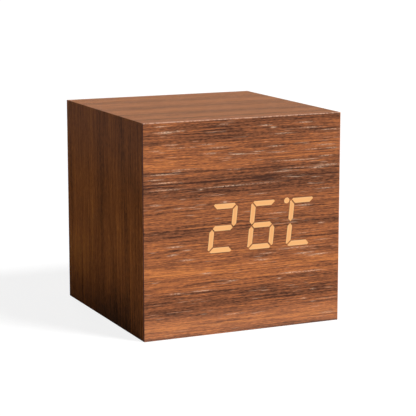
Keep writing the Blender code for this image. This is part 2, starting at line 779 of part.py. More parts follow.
def light_bars():
    """The clear bars that carry the light forward. The lit ones reach the front, the others the veneer."""
    outlines = display_outlines(0)
    web = (WEB_FRONT, WEB_BACK)
    into_web = WEB_BACK - WEB_T / 2

    def bars(prefix):
        found = [(is_lit(name), outline) for name, outline in outlines if name.startswith(prefix)]
        return [prism(outline, (-HALF if lit else WOOD_FRONT, into_web), along_y) for lit, outline in found]

    corners = [(-DIGIT_W / 2, -DIGIT_H / 2), (DIGIT_W / 2, -DIGIT_H / 2)]
    corners += [(-u, -v) for u, v in corners]
    for digit, middle in enumerate(digit_middles()):
        finish = LIT if LIT_BARS[digit] else DIFFUSER
        plate = prism(slanted(corners, middle), web, along_y)
        piece = solid(f"digit_{digit + 1}_light_bars", plate, finish)
        join(piece, "bars", *bars(str(digit)))
    reach = COLON_RISE + COLON_R
    corners = [(-COLON_R, -reach), (COLON_R, -reach), (COLON_R, reach), (-COLON_R, reach)]
    piece = solid("colon_light_bars", prism(slanted(corners, DISPLAY_X), web, along_y), DIFFUSER)
    join(piece, "bars", *bars("colon"))
    solid("degree_light_bar", bars("degree")[0], LIT)


def display_board():
    outline = block(span(DISPLAY_X, FRAME_W), (PCB_FRONT, PCB_BACK), span(DISPLAY_Z, PCB_H))
    board = solid("display_board", outline, BOARD_GREEN)
    chips = []
    for name, outline in display_outlines(0):
        x, z = (sum(values) / len(outline) for values in zip(*outline))
        upright = name[-1] in "bcef" and name[0].isdigit()
        width, height = (LED_W, LED_L) if upright else (LED_L, LED_W)
        chips.append(block(span(x, width), (PCB_FRONT - LED_H, PCB_FRONT + LAP), span(z, height)))
    through = (PCB_FRONT - OVERRUN, PCB_BACK + OVERRUN)
    holes = [rod(SCREW_HOLE_R, through, (x, 0, z), Y_AXIS) for x, z in display_screw_places()]
    join(board, "leds", *chips)
    cut(board, "screw_holes", *holes)


def on_board(shares):
    """A place on the back of the display board, from shares of half its width and half its height."""
    across, up = shares
    return DISPLAY_X + across * FRAME_W / 2, DISPLAY_Z + up * PCB_H / 2


def clock_chip():
    body = block(span(CHIP_X, CHIP_W), (ON_PCB + LAP, ON_PCB + LAP + CHIP_T), span(CHIP_Z, CHIP_L))
    chip = solid("clock_chip", body, CHIP_BLACK)
    legs = []
    for side in (-1, 1):
        across = span(CHIP_X + side * (CHIP_W + CHIP_LEG_OUT - LAP) / 2, CHIP_LEG_OUT + LAP)
        for number in range(CHIP_LEGS):
            up = CHIP_Z + (number - (CHIP_LEGS - 1) / 2) * CHIP_LEG_PITCH
            legs.append(block(across, (ON_PCB, ON_PCB + CHIP_LEG_H), span(up, CHIP_LEG_W)))
    join(chip, "legs", *legs)


def coin_cell():
    outer = HOLDER_R
    inner = outer - HOLDER_WALL
    floor = HOLDER_WALL
    clip = floor + FIT + COIN_T + FIT
    rim = clip + HOLDER_CLIP_T / 2
    profile = [(0, 0), (outer, 0), (outer, rim), (inner, rim), (inner, floor), (0, floor)]
    holder = solid("coin_cell_holder", turned(profile, (COIN_X, ON_PCB, COIN_Z), Y_AXIS), BLACK_PLASTIC)
    depth = (ON_PCB + clip, ON_PCB + clip + HOLDER_CLIP_T)
    join(holder, "clip", block(span(COIN_X, 2 * outer - HOLDER_WALL), depth, span(COIN_Z, HOLDER_CLIP_W)))
    edge = COIN_D / 2
    flat = edge - COIN_CHAMFER
    side = [(edge, COIN_CHAMFER), (edge, COIN_T - COIN_CHAMFER)]
    profile = [(0, 0), (flat, 0), *side, (flat, COIN_T), (0, COIN_T)]
    solid("coin_cell", turned(profile, (COIN_X, ON_PCB + floor + FIT, COIN_Z), Y_AXIS), NICKEL)


def buzzer():
    outer, hole = BUZZER_D / 2, BUZZER_HOLE_D / 2
    floor = BUZZER_H - BUZZER_HOLE_DEPTH
    profile = [(0, 0), (outer, 0), (outer, BUZZER_H), (hole, BUZZER_H), (hole, floor), (0, floor)]
    solid("buzzer", turned(profile, (BUZZER_X, ON_PCB, BUZZER_Z), Y_AXIS), CHIP_BLACK)


def microphone():
    outer = MICROPHONE_D / 2
    inner = outer - MICROPHONE_RIM
    floor = MICROPHONE_H - MICROPHONE_SINK
    profile = [(0, 0), (outer, 0), (outer, MICROPHONE_H), (inner, MICROPHONE_H), (inner, floor), (0, floor)]
    centre = (MICROPHONE_X, ON_PCB, MICROPHONE_Z)
    solid("microphone", turned(profile, centre, Y_AXIS, DOT_STEPS), NICKEL)


def crystal():
    radius = CRYSTAL_D / 2
    solid("crystal", rod(radius, (0, CRYSTAL_L), (CRYSTAL_X, ON_PCB + radius, CRYSTAL_Z), X_AXIS), NICKEL)


def thermistor():
    x, z = on_board(THERMISTOR_SHARES)
    radius = BEAD_D / 2
    soft = radius / 2
    low, high = BEAD_RISE, BEAD_RISE + BEAD_D
    profile = [(0, low), (soft, low), (radius, low + soft), (radius, high - soft), (soft, high), (0, high)]
    bead = solid("thermistor", turned(profile, (x, ON_PCB, z), Y_AXIS, HOLE_STEPS), CHIP_BLACK)
    depth = (ON_PCB, ON_PCB + low + soft)
    leg_middles = [x - BEAD_LEG_PITCH / 2, x + BEAD_LEG_PITCH / 2]
    legs = [block(span(middle, BEAD_LEG), depth, span(z, BEAD_LEG)) for middle in leg_middles]
    join(bead, "legs", *legs)


# Controls


def button_middles():
    first = -(len(BUTTON_NAMES) - 1) * BUTTON_PITCH / 2
    return [(name, first + number * BUTTON_PITCH) for number, name in enumerate(BUTTON_NAMES)]


def peg_places():
    x = BEZEL_INSIDE_W / 2 - PEG_IN
    return [(-x, SOCKET_Z), (x, SOCKET_Z)]


def control_bezel():
    """A shallow pan that fills the back panel's window from inside. The board is staked to its two pegs."""
    flange_back = BACK_INNER - FIT
    flange_front = flange_back - BEZEL_FLANGE_T
    pan = block(span(0, BEZEL_W), (flange_front, BEZEL_FACE), span(BEZEL_Z, BEZEL_H))
    bezel = solid("control_bezel", pan, BLACK_PLASTIC)
    wide, high = BEZEL_W + 2 * BEZEL_FLANGE_OUT, BEZEL_H + 2 * BEZEL_FLANGE_OUT
    join(bezel, "flange", block(span(0, wide), (flange_front, flange_back), span(BEZEL_Z, high)))
    depth = (flange_front - OVERRUN, BEZEL_INNER)
    cut(bezel, "hollow", block(span(0, BEZEL_INSIDE_W), depth, span(BEZEL_Z, BEZEL_INSIDE_H)))
    through = (BEZEL_INNER - OVERRUN, BEZEL_FACE + OVERRUN)
    button_hole, socket_hole = BUTTON_D / 2 + RUN, SOCKET_COLLAR_D / 2 + RUN
    holes = [rod(button_hole, through, (x, 0, BUTTON_Z), Y_AXIS, ROUND_STEPS) for _, x in button_middles()]
    holes.append(rod(socket_hole, through, (0, 0, SOCKET_Z), Y_AXIS, ROUND_STEPS))
    cut(bezel, "holes", *holes)
    shoulder = BUTTON_BOARD_BACK + FIT
    head = BUTTON_BOARD_FRONT - FIT
    profile = [
        (0, BEZEL_INNER + LAP),
        (PEG_D / 2, BEZEL_INNER + LAP),
        (PEG_D / 2, shoulder),
        (PEG_TIP_D / 2, shoulder),
        (PEG_TIP_D / 2, head),
        (PEG_HEAD_D / 2, head),
        (PEG_HEAD_D / 2, head - PEG_HEAD_T),
        (0, head - PEG_HEAD_T),
    ]
    join(bezel, "pegs", *(turned(profile, (x, 0, z), Y_AXIS, DOT_STEPS) for x, z in peg_places()))


def button_board():
    board = block(span(0, BEZEL_W), (BUTTON_BOARD_FRONT, BUTTON_BOARD_BACK), span(BEZEL_Z, BEZEL_H))
    board = solid("button_board", board, BOARD_GREEN)
    through = (BUTTON_BOARD_FRONT - OVERRUN, BUTTON_BOARD_BACK + OVERRUN)
    radius = PEG_TIP_D / 2 + LAP
    cut(board, "peg_holes", *(rod(radius, through, (x, 0, z), Y_AXIS) for x, z in peg_places()))


def buttons():
    """Each tact switch with its plunger, and the cap that presses it. Cap and plunger move as one."""
    stem, flange = BUTTON_D / 2, BUTTON_FLANGE_D / 2
    top = BEZEL_FACE + BUTTON_PROUD
    cap_profile = [
        (0, BUTTON_BASE),
        (flange, BUTTON_BASE),
        (flange, BUTTON_FLANGE_TOP),
        (stem, BUTTON_FLANGE_TOP),
        (stem, top - BUTTON_CHAMFER),
        (stem - BUTTON_CHAMFER, top),
        (0, top),
    ]
    bore_floor = SWITCH_TOP - SWITCH_BORE_DEPTH
    bore_ends = (bore_floor, SWITCH_TOP + OVERRUN)
    plunger_ends = (bore_floor + BUTTON_TRAVEL + FIT, PLUNGER_TOP)
    for name, x in button_middles():
        centre = (x, 0, BUTTON_Z)
        body = block(span(x, SWITCH_W), (BUTTON_BOARD_BACK + FIT, SWITCH_TOP), span(BUTTON_Z, SWITCH_W))
        switch = solid(f"{name}_switch", body, CHIP_BLACK)
        bore = rod(PLUNGER_D / 2 + PLUNGER_ROOM, bore_ends, centre, Y_AXIS, DOT_STEPS)
        cut(switch, "bore", bore)
        plunger = rod(PLUNGER_D / 2, plunger_ends, centre, Y_AXIS, DOT_STEPS)
        solid(f"{name}_plunger", plunger, WHITE_PLASTIC, (x, PLUNGER_TOP, BUTTON_Z))
        cap = turned(cap_profile, centre, Y_AXIS)
        solid(f"{name}_button", cap, BLACK_PLASTIC, (x, BUTTON_BASE, BUTTON_Z))


def dc_socket():
    """A square base with a round insert in it, whose bore has a pin in the middle."""
    centre = (0, 0, SOCKET_Z)
    bottom, top = BUTTON_BOARD_BACK + FIT, BEZEL_INNER - RUN
    base = block(span(0, SOCKET_W), (bottom, top), span(SOCKET_Z, SOCKET_W))
    socket = solid("dc_socket", base, BLACK_PLASTIC)
    collar, bore, pin = SOCKET_COLLAR_D / 2, SOCKET_BORE_D / 2, SOCKET_PIN_D / 2
    floor = bottom + SOCKET_FLOOR
    seat = floor - SOCKET_FLOOR / 2
    well = rod((collar + bore) / 2, (seat + LAP, top + OVERRUN), centre, Y_AXIS)
    profile = [
        (0, seat),
        (collar, seat),
        (collar, BEZEL_FACE),
        (bore, BEZEL_FACE),
        (bore, floor),
        (pin, floor),
        (pin, BEZEL_FACE - SOCKET_PIN_SINK),
        (0, BEZEL_FACE - SOCKET_PIN_SINK),
    ]
    cut(socket, "well", well)
    join(socket, "insert", turned(profile, centre, Y_AXIS))


# Battery compartment


def cell_places():
    """Each cell's place across the tray, and the side, -1 or 1, that its plus end faces."""
    first = -(CELL_COUNT - 1) * CELL_PITCH / 2
    return [(first + number * CELL_PITCH, 1 - 2 * (number % 2)) for number in range(CELL_COUNT)]


def battery_cells():
    body = CELL_L - NUB_H
    soft = CELL_CHAMFER
    profile = [
        (0, 0),
        (CELL_R - soft, 0),
        (CELL_R, soft),
        (CELL_R, body - soft),
        (CELL_R - soft, body),
        (NUB_D / 2, body),
        (NUB_D / 2, CELL_L),
        (0, CELL_L),
    ]
    for number, (y, side) in enumerate(cell_places(), 1):
        tip = PLATE_X - DIMPLE_H - FIT
        start = (side * (tip - CELL_L), y, CELL_Z)
        solid(f"battery_{number}", turned(profile, start, side * X_AXIS), CELL_JACKET)


def spring(y, side):
    """A coil that narrows from its plate towards the cell, as a closed tube."""
    length = SPRING_SPACE - FIT - 2 * SPRING_WIRE_R
    count = int(SPRING_TURNS * SPRING_POINTS)
    curve = bpy.data.curves.new("spring", "CURVE")
    curve.dimensions = "3D"
    curve.bevel_depth = SPRING_WIRE_R
    curve.bevel_resolution = 1
    curve.use_fill_caps = True
    line = curve.splines.new("POLY")
    line.points.add(count)
    for step, point in enumerate(line.points):
        share = step / count
        radius = SPRING_BASE_R + share * (SPRING_TIP_R - SPRING_BASE_R)
        turn = share * SPRING_TURNS * FULL_TURN
        along = PLATE_X - SPRING_WIRE_R / 2 - share * (length + SPRING_WIRE_R / 2)
        point.co = (side * along, y + radius * math.cos(turn), CELL_Z + radius * math.sin(turn), 1)
    guide = show("spring_guide", curve)
    bpy.context.view_layer.update()
    mesh = bpy.data.meshes.new_from_object(guide.evaluated_get(bpy.context.evaluated_depsgraph_get()))
    bpy.data.objects.remove(guide, do_unlink=True)
    shape = bmesh.new()
    shape.from_mesh(mesh)
    bmesh.ops.remove_doubles(shape, verts=shape.verts, dist=MERGE)
    bmesh.ops.recalc_face_normals(shape, faces=shape.faces)
    return shape


def dimple(y, side):
    """The bump that meets a cell's plus end."""
    wide, narrow = DIMPLE_D / 2, NUB_D / 4
    profile = [(0, PLATE_X + LAP), (wide, PLATE_X + LAP), (wide, PLATE_X), (narrow, PLATE_X - DIMPLE_H)]
    return turned(profile + [(0, PLATE_X - DIMPLE_H)], (0, y, CELL_Z), side * X_AXIS, HOLE_STEPS)


def contact(name, side, cells, tabbed):
    """A contact plate at one end of the tray, with what meets each of its cells, and a soldering tab."""
    places = cell_places()
    first, last = places[cells[0]][0], places[cells[-1]][0]
    x = sorted((side * PLATE_X, side * (PLATE_X + PLATE_T)))
    low = DOOR_TOP + FIT + STOP_H + RUN
    plate = block(x, (first - PLATE_HALF_W, last + PLATE_HALF_W), (low, ROOF_Z - RUN))
    piece = solid(name, plate, NICKEL)
    for cell in cells:
        y, plus_side = places[cell]
        if plus_side == side:
            join(piece, f"dimple_{cell + 1}", dimple(y, side))
        else:
            join(piece, f"spring_{cell + 1}", spring(y, side))
    if tabbed:
        tab = block(x, span(first, TAB_W), (ROOF_Z - RUN - LAP, TRAY_TOP + TAB_RISE))
        join(piece, "tab", tab)


def contacts():
    contact("contact_bridge_left", -1, (0, 1), False)
    contact("contact_bridge_right", 1, (1, 2), False)
    contact("plus_terminal", 1, (0,), True)
    contact("minus_terminal", -1, (2,), True)


def battery_tray():
    tray = solid("battery_tray", block(both(TRAY_X), both(TRAY_Y), (TRAY_RIM, TRAY_TOP)), BLACK_PLASTIC)
    ears = []
    for side in (-1, 1):
        reach = sorted((side * (TRAY_Y - TRAY_WALL / 2), side * (TRAY_Y + EAR_OUT)))
        ears.append(block(both(EAR_W / 2), reach, (WALL + FIT, WALL + FIT + EAR_T)))
    join(tray, "ears", *ears)
    cut(tray, "bay", block(both(BAY_X), both(BAY_Y), (TRAY_RIM - OVERRUN, ROOF_Z)))
    ear_depth = (WALL - OVERRUN, WALL + FIT + EAR_T + OVERRUN)
    cut(tray, "ear_holes", *(rod(SCREW_HOLE_R, ear_depth, (0, y, 0), Z_AXIS) for y in tray_screw_places()))
    hinge = (0, HINGE_Y, HINGE_Z)
    cut(tray, "hinge_holes", rod(HINGE_PIN_D / 2 + HINGE_CLEARANCE, both(TRAY_X + OVERRUN), hinge, X_AXIS))
    places = cell_places()
    slots = []
    for side, y in ((1, places[0][0]), (-1, places[-1][0])):
        x = sorted((side * (PLATE_X - FIT), side * (BAY_X + FIT)))
        slots.append(block(x, span(y, TAB_W + 2 * LAP), (ROOF_Z - OVERRUN, TRAY_TOP + OVERRUN)))
    cut(tray, "tab_slots", *slots)
    through = (-TRAY_Y - OVERRUN, -BAY_Y + OVERRUN)
    hook_top = DOOR_TOP + TONGUE_H - HOOK_DOWN
    height = (hook_top - HOOK_H - NOTCH_ROOM, hook_top + NOTCH_ROOM)
    cut(tray, "latch_notch", block(both(TONGUE_W / 2 + RUN), through, height))
    cut(tray, "finger_notch", block(both(FINGER_W / 2), through, (TRAY_RIM - OVERRUN, DOOR_TOP)))
    between = [(y + places[number + 1][0]) / 2 for number, (y, _) in enumerate(places[:-1])]
    ribs = [block(both(PLATE_X - RUN), span(y, RIB_W), (ROOF_Z - RIB_DEPTH, ROOF_Z + LAP)) for y in between]
    join(tray, "ribs", *ribs)
    stops = []
    for side in (-1, 1):
        x = sorted((side * (BAY_X - STOP_OUT), side * (BAY_X + LAP)))
        stops += [block(x, span(y, STOP_W), (DOOR_TOP + FIT, DOOR_TOP + FIT + STOP_H)) for y in between]
    join(tray, "door_stops", *stops)


def battery_door():
    """A plate with a round rear edge on two hinge pins, and a latch tongue at its front edge."""
    front = DOOR_FRONT
    radius = DOOR_T / 2
    steps = HOLE_STEPS // 2
    turns = [math.pi * step / steps for step in range(steps + 1)]
    edge = [(HINGE_Y + radius * math.sin(turn), HINGE_Z - radius * math.cos(turn)) for turn in turns]
    tongue_back = front + TONGUE_T
    top = DOOR_TOP + TONGUE_H
    hinge = (0, HINGE_Y, HINGE_Z)
    plate = prism([(front, DOOR_Z)] + edge + [(front, DOOR_TOP)], both(DOOR_X), along_x)
    door = solid("battery_door", plate, BLACK_PLASTIC, hinge)
    hook_top = top - HOOK_DOWN
    tongue_outline = [
        (front, DOOR_TOP - LAP),
        (tongue_back, DOOR_TOP - LAP),
        (tongue_back, top),
        (front, top),
        (front, hook_top),
        (front - HOOK_OUT, hook_top - HOOK_OUT),
        (front - HOOK_OUT, hook_top - HOOK_H),
        (front, hook_top - HOOK_H),
    ]
    join(door, "pins", rod(HINGE_PIN_D / 2, both(DOOR_X + HINGE_PIN_L), hinge, X_AXIS))
    join(door, "tongue", prism(tongue_outline, both(TONGUE_W / 2), along_x))
    middles = [front + GRIP_IN + number * GRIP_PITCH for number in range(GRIP_COUNT)]
    depth = (DOOR_Z - OVERRUN, DOOR_Z + GRIP_DEPTH)
    grooves = [block(both(GRIP_L / 2), span(middle, GRIP_W), depth) for middle in middles]
    cut(door, "grip", *grooves)


# Wires


def lead(name, points, finish):
    """A round wire through the points given, drawn as a smooth curve."""
    curve = bpy.data.curves.new(name, "CURVE")
    curve.dimensions = "3D"
    curve.bevel_depth = LEAD_R
    curve.bevel_resolution = 2
    curve.use_fill_caps = True
    route = smooth_route([Vector(point) for point in points])
    line = curve.splines.new("POLY")
    line.points.add(len(route) - 1)
    for point, place in zip(line.points, route):
        point.co = (*place, 1)
    curve.materials.append(material(name, finish))
    show(name, curve)


def smooth_route(points, steps=3):
    """Points along a curve that passes through each point given."""
    padded = [2 * points[0] - points[1]] + points + [2 * points[-1] - points[-2]]
    route = []
    for before, start, end, after in zip(padded, padded[1:], padded[2:], padded[3:]):
        for step in range(steps):
            t = step / steps
            square = 2 * before - 5 * start + 4 * end - after
            cube = 3 * start - before - 3 * end + after
            route.append((2 * start + (end - before) * t + square * t**2 + cube * t**3) / 2)
    return route + [points[-1]]


def route_of(start, end, shares):
    """Points from start to end, each given as its shares of the way along X, Y and Z."""
    way = Vector(end) - Vector(start)
    return [Vector(start) + Vector(share * length for share, length in zip(row, way)) for row in shares]


def leads():
    """The two leads, from the terminals' tabs over the tray to the back of the display board."""
    places = cell_places()
    height = TRAY_TOP + RUN + LEAD_R
    tab = PLATE_X - RUN
    board = PCB_BACK + RUN
    x, z = on_board(RED_LEAD_SHARES)
    route = route_of((tab, places[0][0], height), (x, board, z), RED_ROUTE_SHARES)
    lead("battery_lead_red", route, RED_WIRE)
    x, z = on_board(BLACK_LEAD_SHARES)
    route = route_of((-tab, places[-1][0], height), (x, board, z), BLACK_ROUTE_SHARES)
    lead("battery_lead_black", route, BLACK_WIRE)


def ribbon_cable():
    """The flat cable between the boards: level where it is soldered, sagging to its lowest point midway."""
    high = RIBBON_Z
    low_end = BEZEL_Z + RIBBON_BOARD_SHARE * BEZEL_H / 2
    lowest = low_end - RIBBON_SAG
    near, far = PCB_BACK + RUN, BUTTON_BOARD_FRONT - RUN
    middle = (near + far) / 2

    def half(start, end, steps):
        """A curve between two points that is level at both."""
        reach = (end[0] - start[0]) / 2
        controls = (start, (start[0] + reach, start[1]), (end[0] - reach, end[1]), end)
        weights = [((1 - t) ** 3, 3 * t * (1 - t) ** 2, 3 * t * t * (1 - t), t**3) for t in steps]
        return [sum((w * Vector(c) for w, c in zip(row, controls)), Vector((0, 0))) for row in weights]

    steps = [step / RIBBON_POINTS for step in range(RIBBON_POINTS + 1)]
    route = half((near, high), (middle, lowest), steps) + half((middle, lowest), (far, low_end), steps)[1:]
    above, below = [], []
    for number, (y, z) in enumerate(route):
        before, after = route[max(number - 1, 0)], route[min(number + 1, len(route) - 1)]
        way = (after - before).normalized()
        if number in (0, len(route) - 1):
            way = Vector((1, 0))
        above.append((y - way.y * RIBBON_T / 2, z + way.x * RIBBON_T / 2))
        below.append((y + way.y * RIBBON_T / 2, z - way.x * RIBBON_T / 2))
    solid("ribbon_cable", prism(below + above[::-1], span(CHIP_X, RIBBON_W), along_x), GREY_WIRE)


case_walls()
front_veneer()
front_board()
back_panel()
back_blocks()
screws()
display_frame()
light_bars()
display_board()
clock_chip()
coin_cell()
buzzer()
microphone()
crystal()
thermistor()
control_bezel()
button_board()
buttons()
dc_socket()
battery_cells()
contacts()
battery_tray()
battery_door()
leads()
ribbon_cable()
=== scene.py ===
"""The looks of the wooden cube clock: finer pieces over the solids, finishes, camera and light.

Pieces are in metres with +Z up. The display faces -Y and the buttons face +Y. Finishes are laid
out in millimetres on the clock's own X, Y and Z.
"""

import math

import bmesh
import bpy
from mathutils import Matrix, Vector


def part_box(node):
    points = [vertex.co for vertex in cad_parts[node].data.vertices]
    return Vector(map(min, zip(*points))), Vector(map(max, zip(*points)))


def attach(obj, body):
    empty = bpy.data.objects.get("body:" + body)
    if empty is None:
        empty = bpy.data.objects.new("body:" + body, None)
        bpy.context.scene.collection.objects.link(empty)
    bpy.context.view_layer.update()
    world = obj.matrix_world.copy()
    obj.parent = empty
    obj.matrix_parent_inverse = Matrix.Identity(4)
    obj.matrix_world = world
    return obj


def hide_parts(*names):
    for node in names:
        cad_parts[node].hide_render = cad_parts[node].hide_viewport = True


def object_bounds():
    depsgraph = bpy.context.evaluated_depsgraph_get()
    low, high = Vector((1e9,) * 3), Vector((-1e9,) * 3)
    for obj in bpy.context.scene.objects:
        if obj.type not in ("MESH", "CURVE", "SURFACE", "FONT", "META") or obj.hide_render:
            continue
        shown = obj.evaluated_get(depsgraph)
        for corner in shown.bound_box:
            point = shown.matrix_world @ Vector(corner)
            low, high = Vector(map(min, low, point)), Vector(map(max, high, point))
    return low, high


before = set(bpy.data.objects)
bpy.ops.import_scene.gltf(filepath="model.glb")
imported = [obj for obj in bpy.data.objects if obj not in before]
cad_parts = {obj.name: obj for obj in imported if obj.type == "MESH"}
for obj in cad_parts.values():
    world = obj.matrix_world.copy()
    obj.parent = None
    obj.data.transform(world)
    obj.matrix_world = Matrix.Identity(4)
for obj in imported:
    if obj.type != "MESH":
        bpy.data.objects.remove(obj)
cad_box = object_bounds()

MM = 0.001
FULL_TURN = 2 * math.pi
SHARP = math.radians(35)
FLAT = math.radians(1)
MERGE = 0.001 * MM
FEW_STEPS = 32  # the sides of a small round shape
X_AXIS = Vector((1, 0, 0))
Y_AXIS = Vector((0, 1, 0))
Z_AXIS = Vector((0, 0, 1))

# Camera and light
CAMERA_AZIMUTH = math.radians(-24.523)
CAMERA_ELEVATION = math.radians(10.447)
CAMERA_DISTANCE = 0.48653
CAMERA_TARGET = (0.002833, 0, 0.030665)
NEAR_CLIP = 0.01
LENS = 138.63
SENSOR = 36
SUN_FROM = (0.5, -0.62, 0.88)
SUN_STRENGTH = 3.9
SUN_ANGLE = math.radians(16)
BACK_FROM = (0.22, 0.95, 0.14)
BACK_STRENGTH = 1.3
SKY_STRENGTH = 0.07
FLOOR_SIZE = 6
FLOOR_COLOUR = (186, 186, 184)
FLOOR_WHITE = 1.05  # how bright the floor is seen in full light
FLOOR_SHADOW_SHARE = 0.2  # how much of that the object's shadow can take away

BUTTONS = ("set", "up", "down")
CORNERS = range(1, 5)  # the screws in the back, and those round the display
CELLS = range(1, 4)

# The wooden case and what is cut through its back
EASE = 0.12 * MM  # the rounding of the wooden edges
MITRE_GAP = 0.02 * MM
OVERRUN = MM  # how far a cutter reaches past what it cuts
WINDOW_LAP = 2 * MM - 0.3 * MM  # how far the bezel's flange lies over the back, round its window
BATTEN = 8 * MM
SOUND_HOLE = 0.75 * MM
SOUND_RING = 2.2 * MM
SOUND_HOLES = 6

# Screws. Heads, shanks and holes are given by their radii
SHANK = 1 * MM
SCREW_TIP = 0.6 * MM
SCREW_HOLE = 1.15 * MM
SCREW_HOLE_DEPTH = 8 * MM
FLAT_HEAD = 2 * MM
FLAT_HEIGHT = 1.1 * MM
HEAD_ROOM = 0.15 * MM
PAN_HEAD = 1.8 * MM
PAN_HEIGHT = 1.4 * MM
PAN_CROWN = 0.75 * MM
SCREW_STEPS = 48
CROSS_REACH = 1.2 * MM
CROSS_DEPTH = 0.9 * MM
CROSS_SLIMNESS = 4.5  # a blade's length over its width
CROSS_TAPER = 0.4
CROSS_STAGGER = 1.05
SOFT_RIM = 0.12 * MM  # the rounding of the rims of screw heads and of the socket

# Controls
CAP = 2.5 * MM
CAP_FLANGE = 0.8 * MM
CAP_RIM = 0.35 * MM
CAP_DISH = 0.16 * MM
DISH_SHARES = (0.8, 0.6, 0.4, 0.2, 0)
FLARE = 0.15 * MM
HOLE_DEPTH = 2 * MM
BUTTON_HOLE = 2.83 * MM
SOCKET_HOLE = 3.13 * MM
COLLAR = 2.8 * MM
COLLAR_HEIGHT = 1.8 * MM
WELL = COLLAR - 0.3 * MM
WELL_SINK = 0.4 * MM
NECK = COLLAR - 0.31 * MM
SEAT_GAP = 0.01 * MM
SOCKET_BORE = 1.85 * MM
SOCKET_FLOOR = 1.2 * MM
SOCKET_EASE = 0.2 * MM
PIN = 0.675 * MM
PIN_SINK = 0.6 * MM
PIN_GAP = 0.02 * MM
INK = 0.01 * MM  # half the thickness of a printed mark
WORD_SIZE = 1.7 * MM
ARROW = 0.85 * MM
MARKING_ABOVE = 0.75 * MM

# The battery cells and what holds them
PLASTIC_EASE = 0.08 * MM
NUB_HEIGHT = 0.8 * MM
NUB = 1.7 * MM
NUB_RIM = 0.2 * MM
CELL_DISH = 0.15 * MM
CELL_RING = (3.8 * MM, 4 * MM, 4.75 * MM, 4.8 * MM)  # the raised ring at the flat end
CELL_LIP = 0.1 * MM
SLEEVE_RIM = 0.3 * MM
SLEEVE_END = 4.3 * MM
CAN_EDGE = 4.25 * MM
CAN_SHOULDER = 2.3 * MM
CAN_REACH = 4.29 * MM  # how far out the ends' bare steel reaches, and how deep at the flat one
CAN_DEPTH = 0.09 * MM

# A cell's printed marks and where the cells lie, in millimetres
CELL_PITCH = 10.9
CELL_HEIGHT = 8.05
BAND_FROM_TIP = (8.6, 8.4)
SIGN_FROM_TIP = 4.7
SIGN_REACH = 1.3
SIGN_STROKE = 0.35

# The case in millimetres: its inside's reach from its middle, its height and its front
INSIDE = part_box("front_board")[1][0] / MM + 0.15
HEIGHT = cad_box[1][2] / MM
FRONT_Y = cad_box[0][1] / MM

# The display, in millimetres
DISPLAY_X = -0.45
DISPLAY_Z = 30.8
DIGIT_H = 14.2
DIGIT_W = 8.2
DIGIT_PITCH = 12.43
DIGIT_COUNT = 4
SLANT = math.tan(math.radians(6))
BAR_ACROSS = 1.65
BAR_UPRIGHT = 1.5

# How a lit bar shades off, as shares of its width from its middle line, and where two bars meet
PALE_RIM = (0.18, 0.48)
BAR_EDGE = (0.43, 0.47)
UPRIGHT_ROOM = 0.03  # how much further out an upright bar's edge lies
MEETING_SHADE = (0.12, 1.6 * 0.12)
DEEPEST_SHADE = 0.9
UPRIGHT_SHARE = 0.75
GLOW_STREAK = (0.2, 3)  # width and length of the fine streaks in the light
GLOW_RAGGED = 0.7
DOT_STREAK = 0.3
DOT_RAGGED = 0.5
DOT_RIM = (0.3, 1)

# Streaks of grain: length, width and offset of their noise, then its detail and roughness
BROAD_STREAKS = (75, 5, 3)
NARROW_STREAKS = (45, 1.6, 7)
FIBRE_STREAKS = (22, 0.34, 13, 3, 0.65)
LINE_STREAKS = (80, 0.5, 19)
HAIR_STREAKS = (7, 0.25, 17)
DASH_STREAKS = (1.3, 0.22, 37, 1)
PORE_STREAKS = (11, 0.22, 23)
MARK_STREAKS = (6, 0.2, 29, 1)

# How much each kind changes the tone
MIDDLE_TONE = 0.52
NARROW_TONE = 0.45
FIBRE_TONE = 0.9
LINE_TONE = 0.9
HAIR_TONE = 1.1
DASH_TONE = 1.1

# How the grain wanders: its waves' length and width, and how far they carry it across
THROUGH_SIZE = 4
SLOW_WAVE = (48, 11)
QUICK_WAVE = (12, 1.8)
SLOW_SHIFT = 1.3
QUICK_SHIFT = 0.15
BAND_BY_FIBRE = 2.6
BAND_BY_LINE = 1.6
DRAWN_BY_QUICK = 0.3
DRAWN_BY_FIBRE = 0.8

# Pores, and the thin dark lines and pale flecks laid out one by one
PORE_EDGE = (0.08, 0.12)
PORE_SHARE = 0.55
LINE_REACH = 0.2  # half a line's height, and how dark the darkest one is
LINE_DEPTH = 0.65
FLECK_REACH = 0.17
FLECK_STRENGTH = 1.2
FLECK_LIMIT = 0.9
MARK_EDGE = (0.11, 0.15)
CLUSTER_SIZE = (9, 1.6)
CLUSTER_EDGE = (0.55, 0.68)
RAGGED_SIZE = (0.8, 0.16)
RAGGED_EDGE = (0.35, 0.6)

# The sheen of wood
WOOD_ROUGHNESS = 0.52
PORE_ROUGHNESS = 0.12
FIBRE_SHEEN = 0.2
PORE_DEPTH = 0.6
GRAIN_DEPTH = 0.03 * MM
GRAIN_STRENGTH = 0.6

# The front's edges, partly worn veneer and partly painted highlight and shade, and its paler foot:
# where each begins and is full, and how much it shows
WEAR_SIZE = 0.9
WEAR_RAGGED = 0.3
WEAR_PATCHES = (0.42, 0.56)
TOP_EDGE_Z = (61.7, 61.84)
TOP_EDGE_Y = (-30.7, -30.85)
TOP_EDGE_SHARES = (0.3, 0.5)
RIGHT_EDGE_X = (30.72, 30.86)
RIGHT_EDGE_SHARE = 0.7
LEFT_EDGE_X = (-30.9, -31)
FOOT_Z = (9, 3)
FOOT_SHARE = 0.12
# a painted cool sheen, which makes the side walls cooler and greyer towards their top
SHEEN_FROM = 36  # the height at which the side walls begin to look cooler
SHEEN_SHARE = 0.15

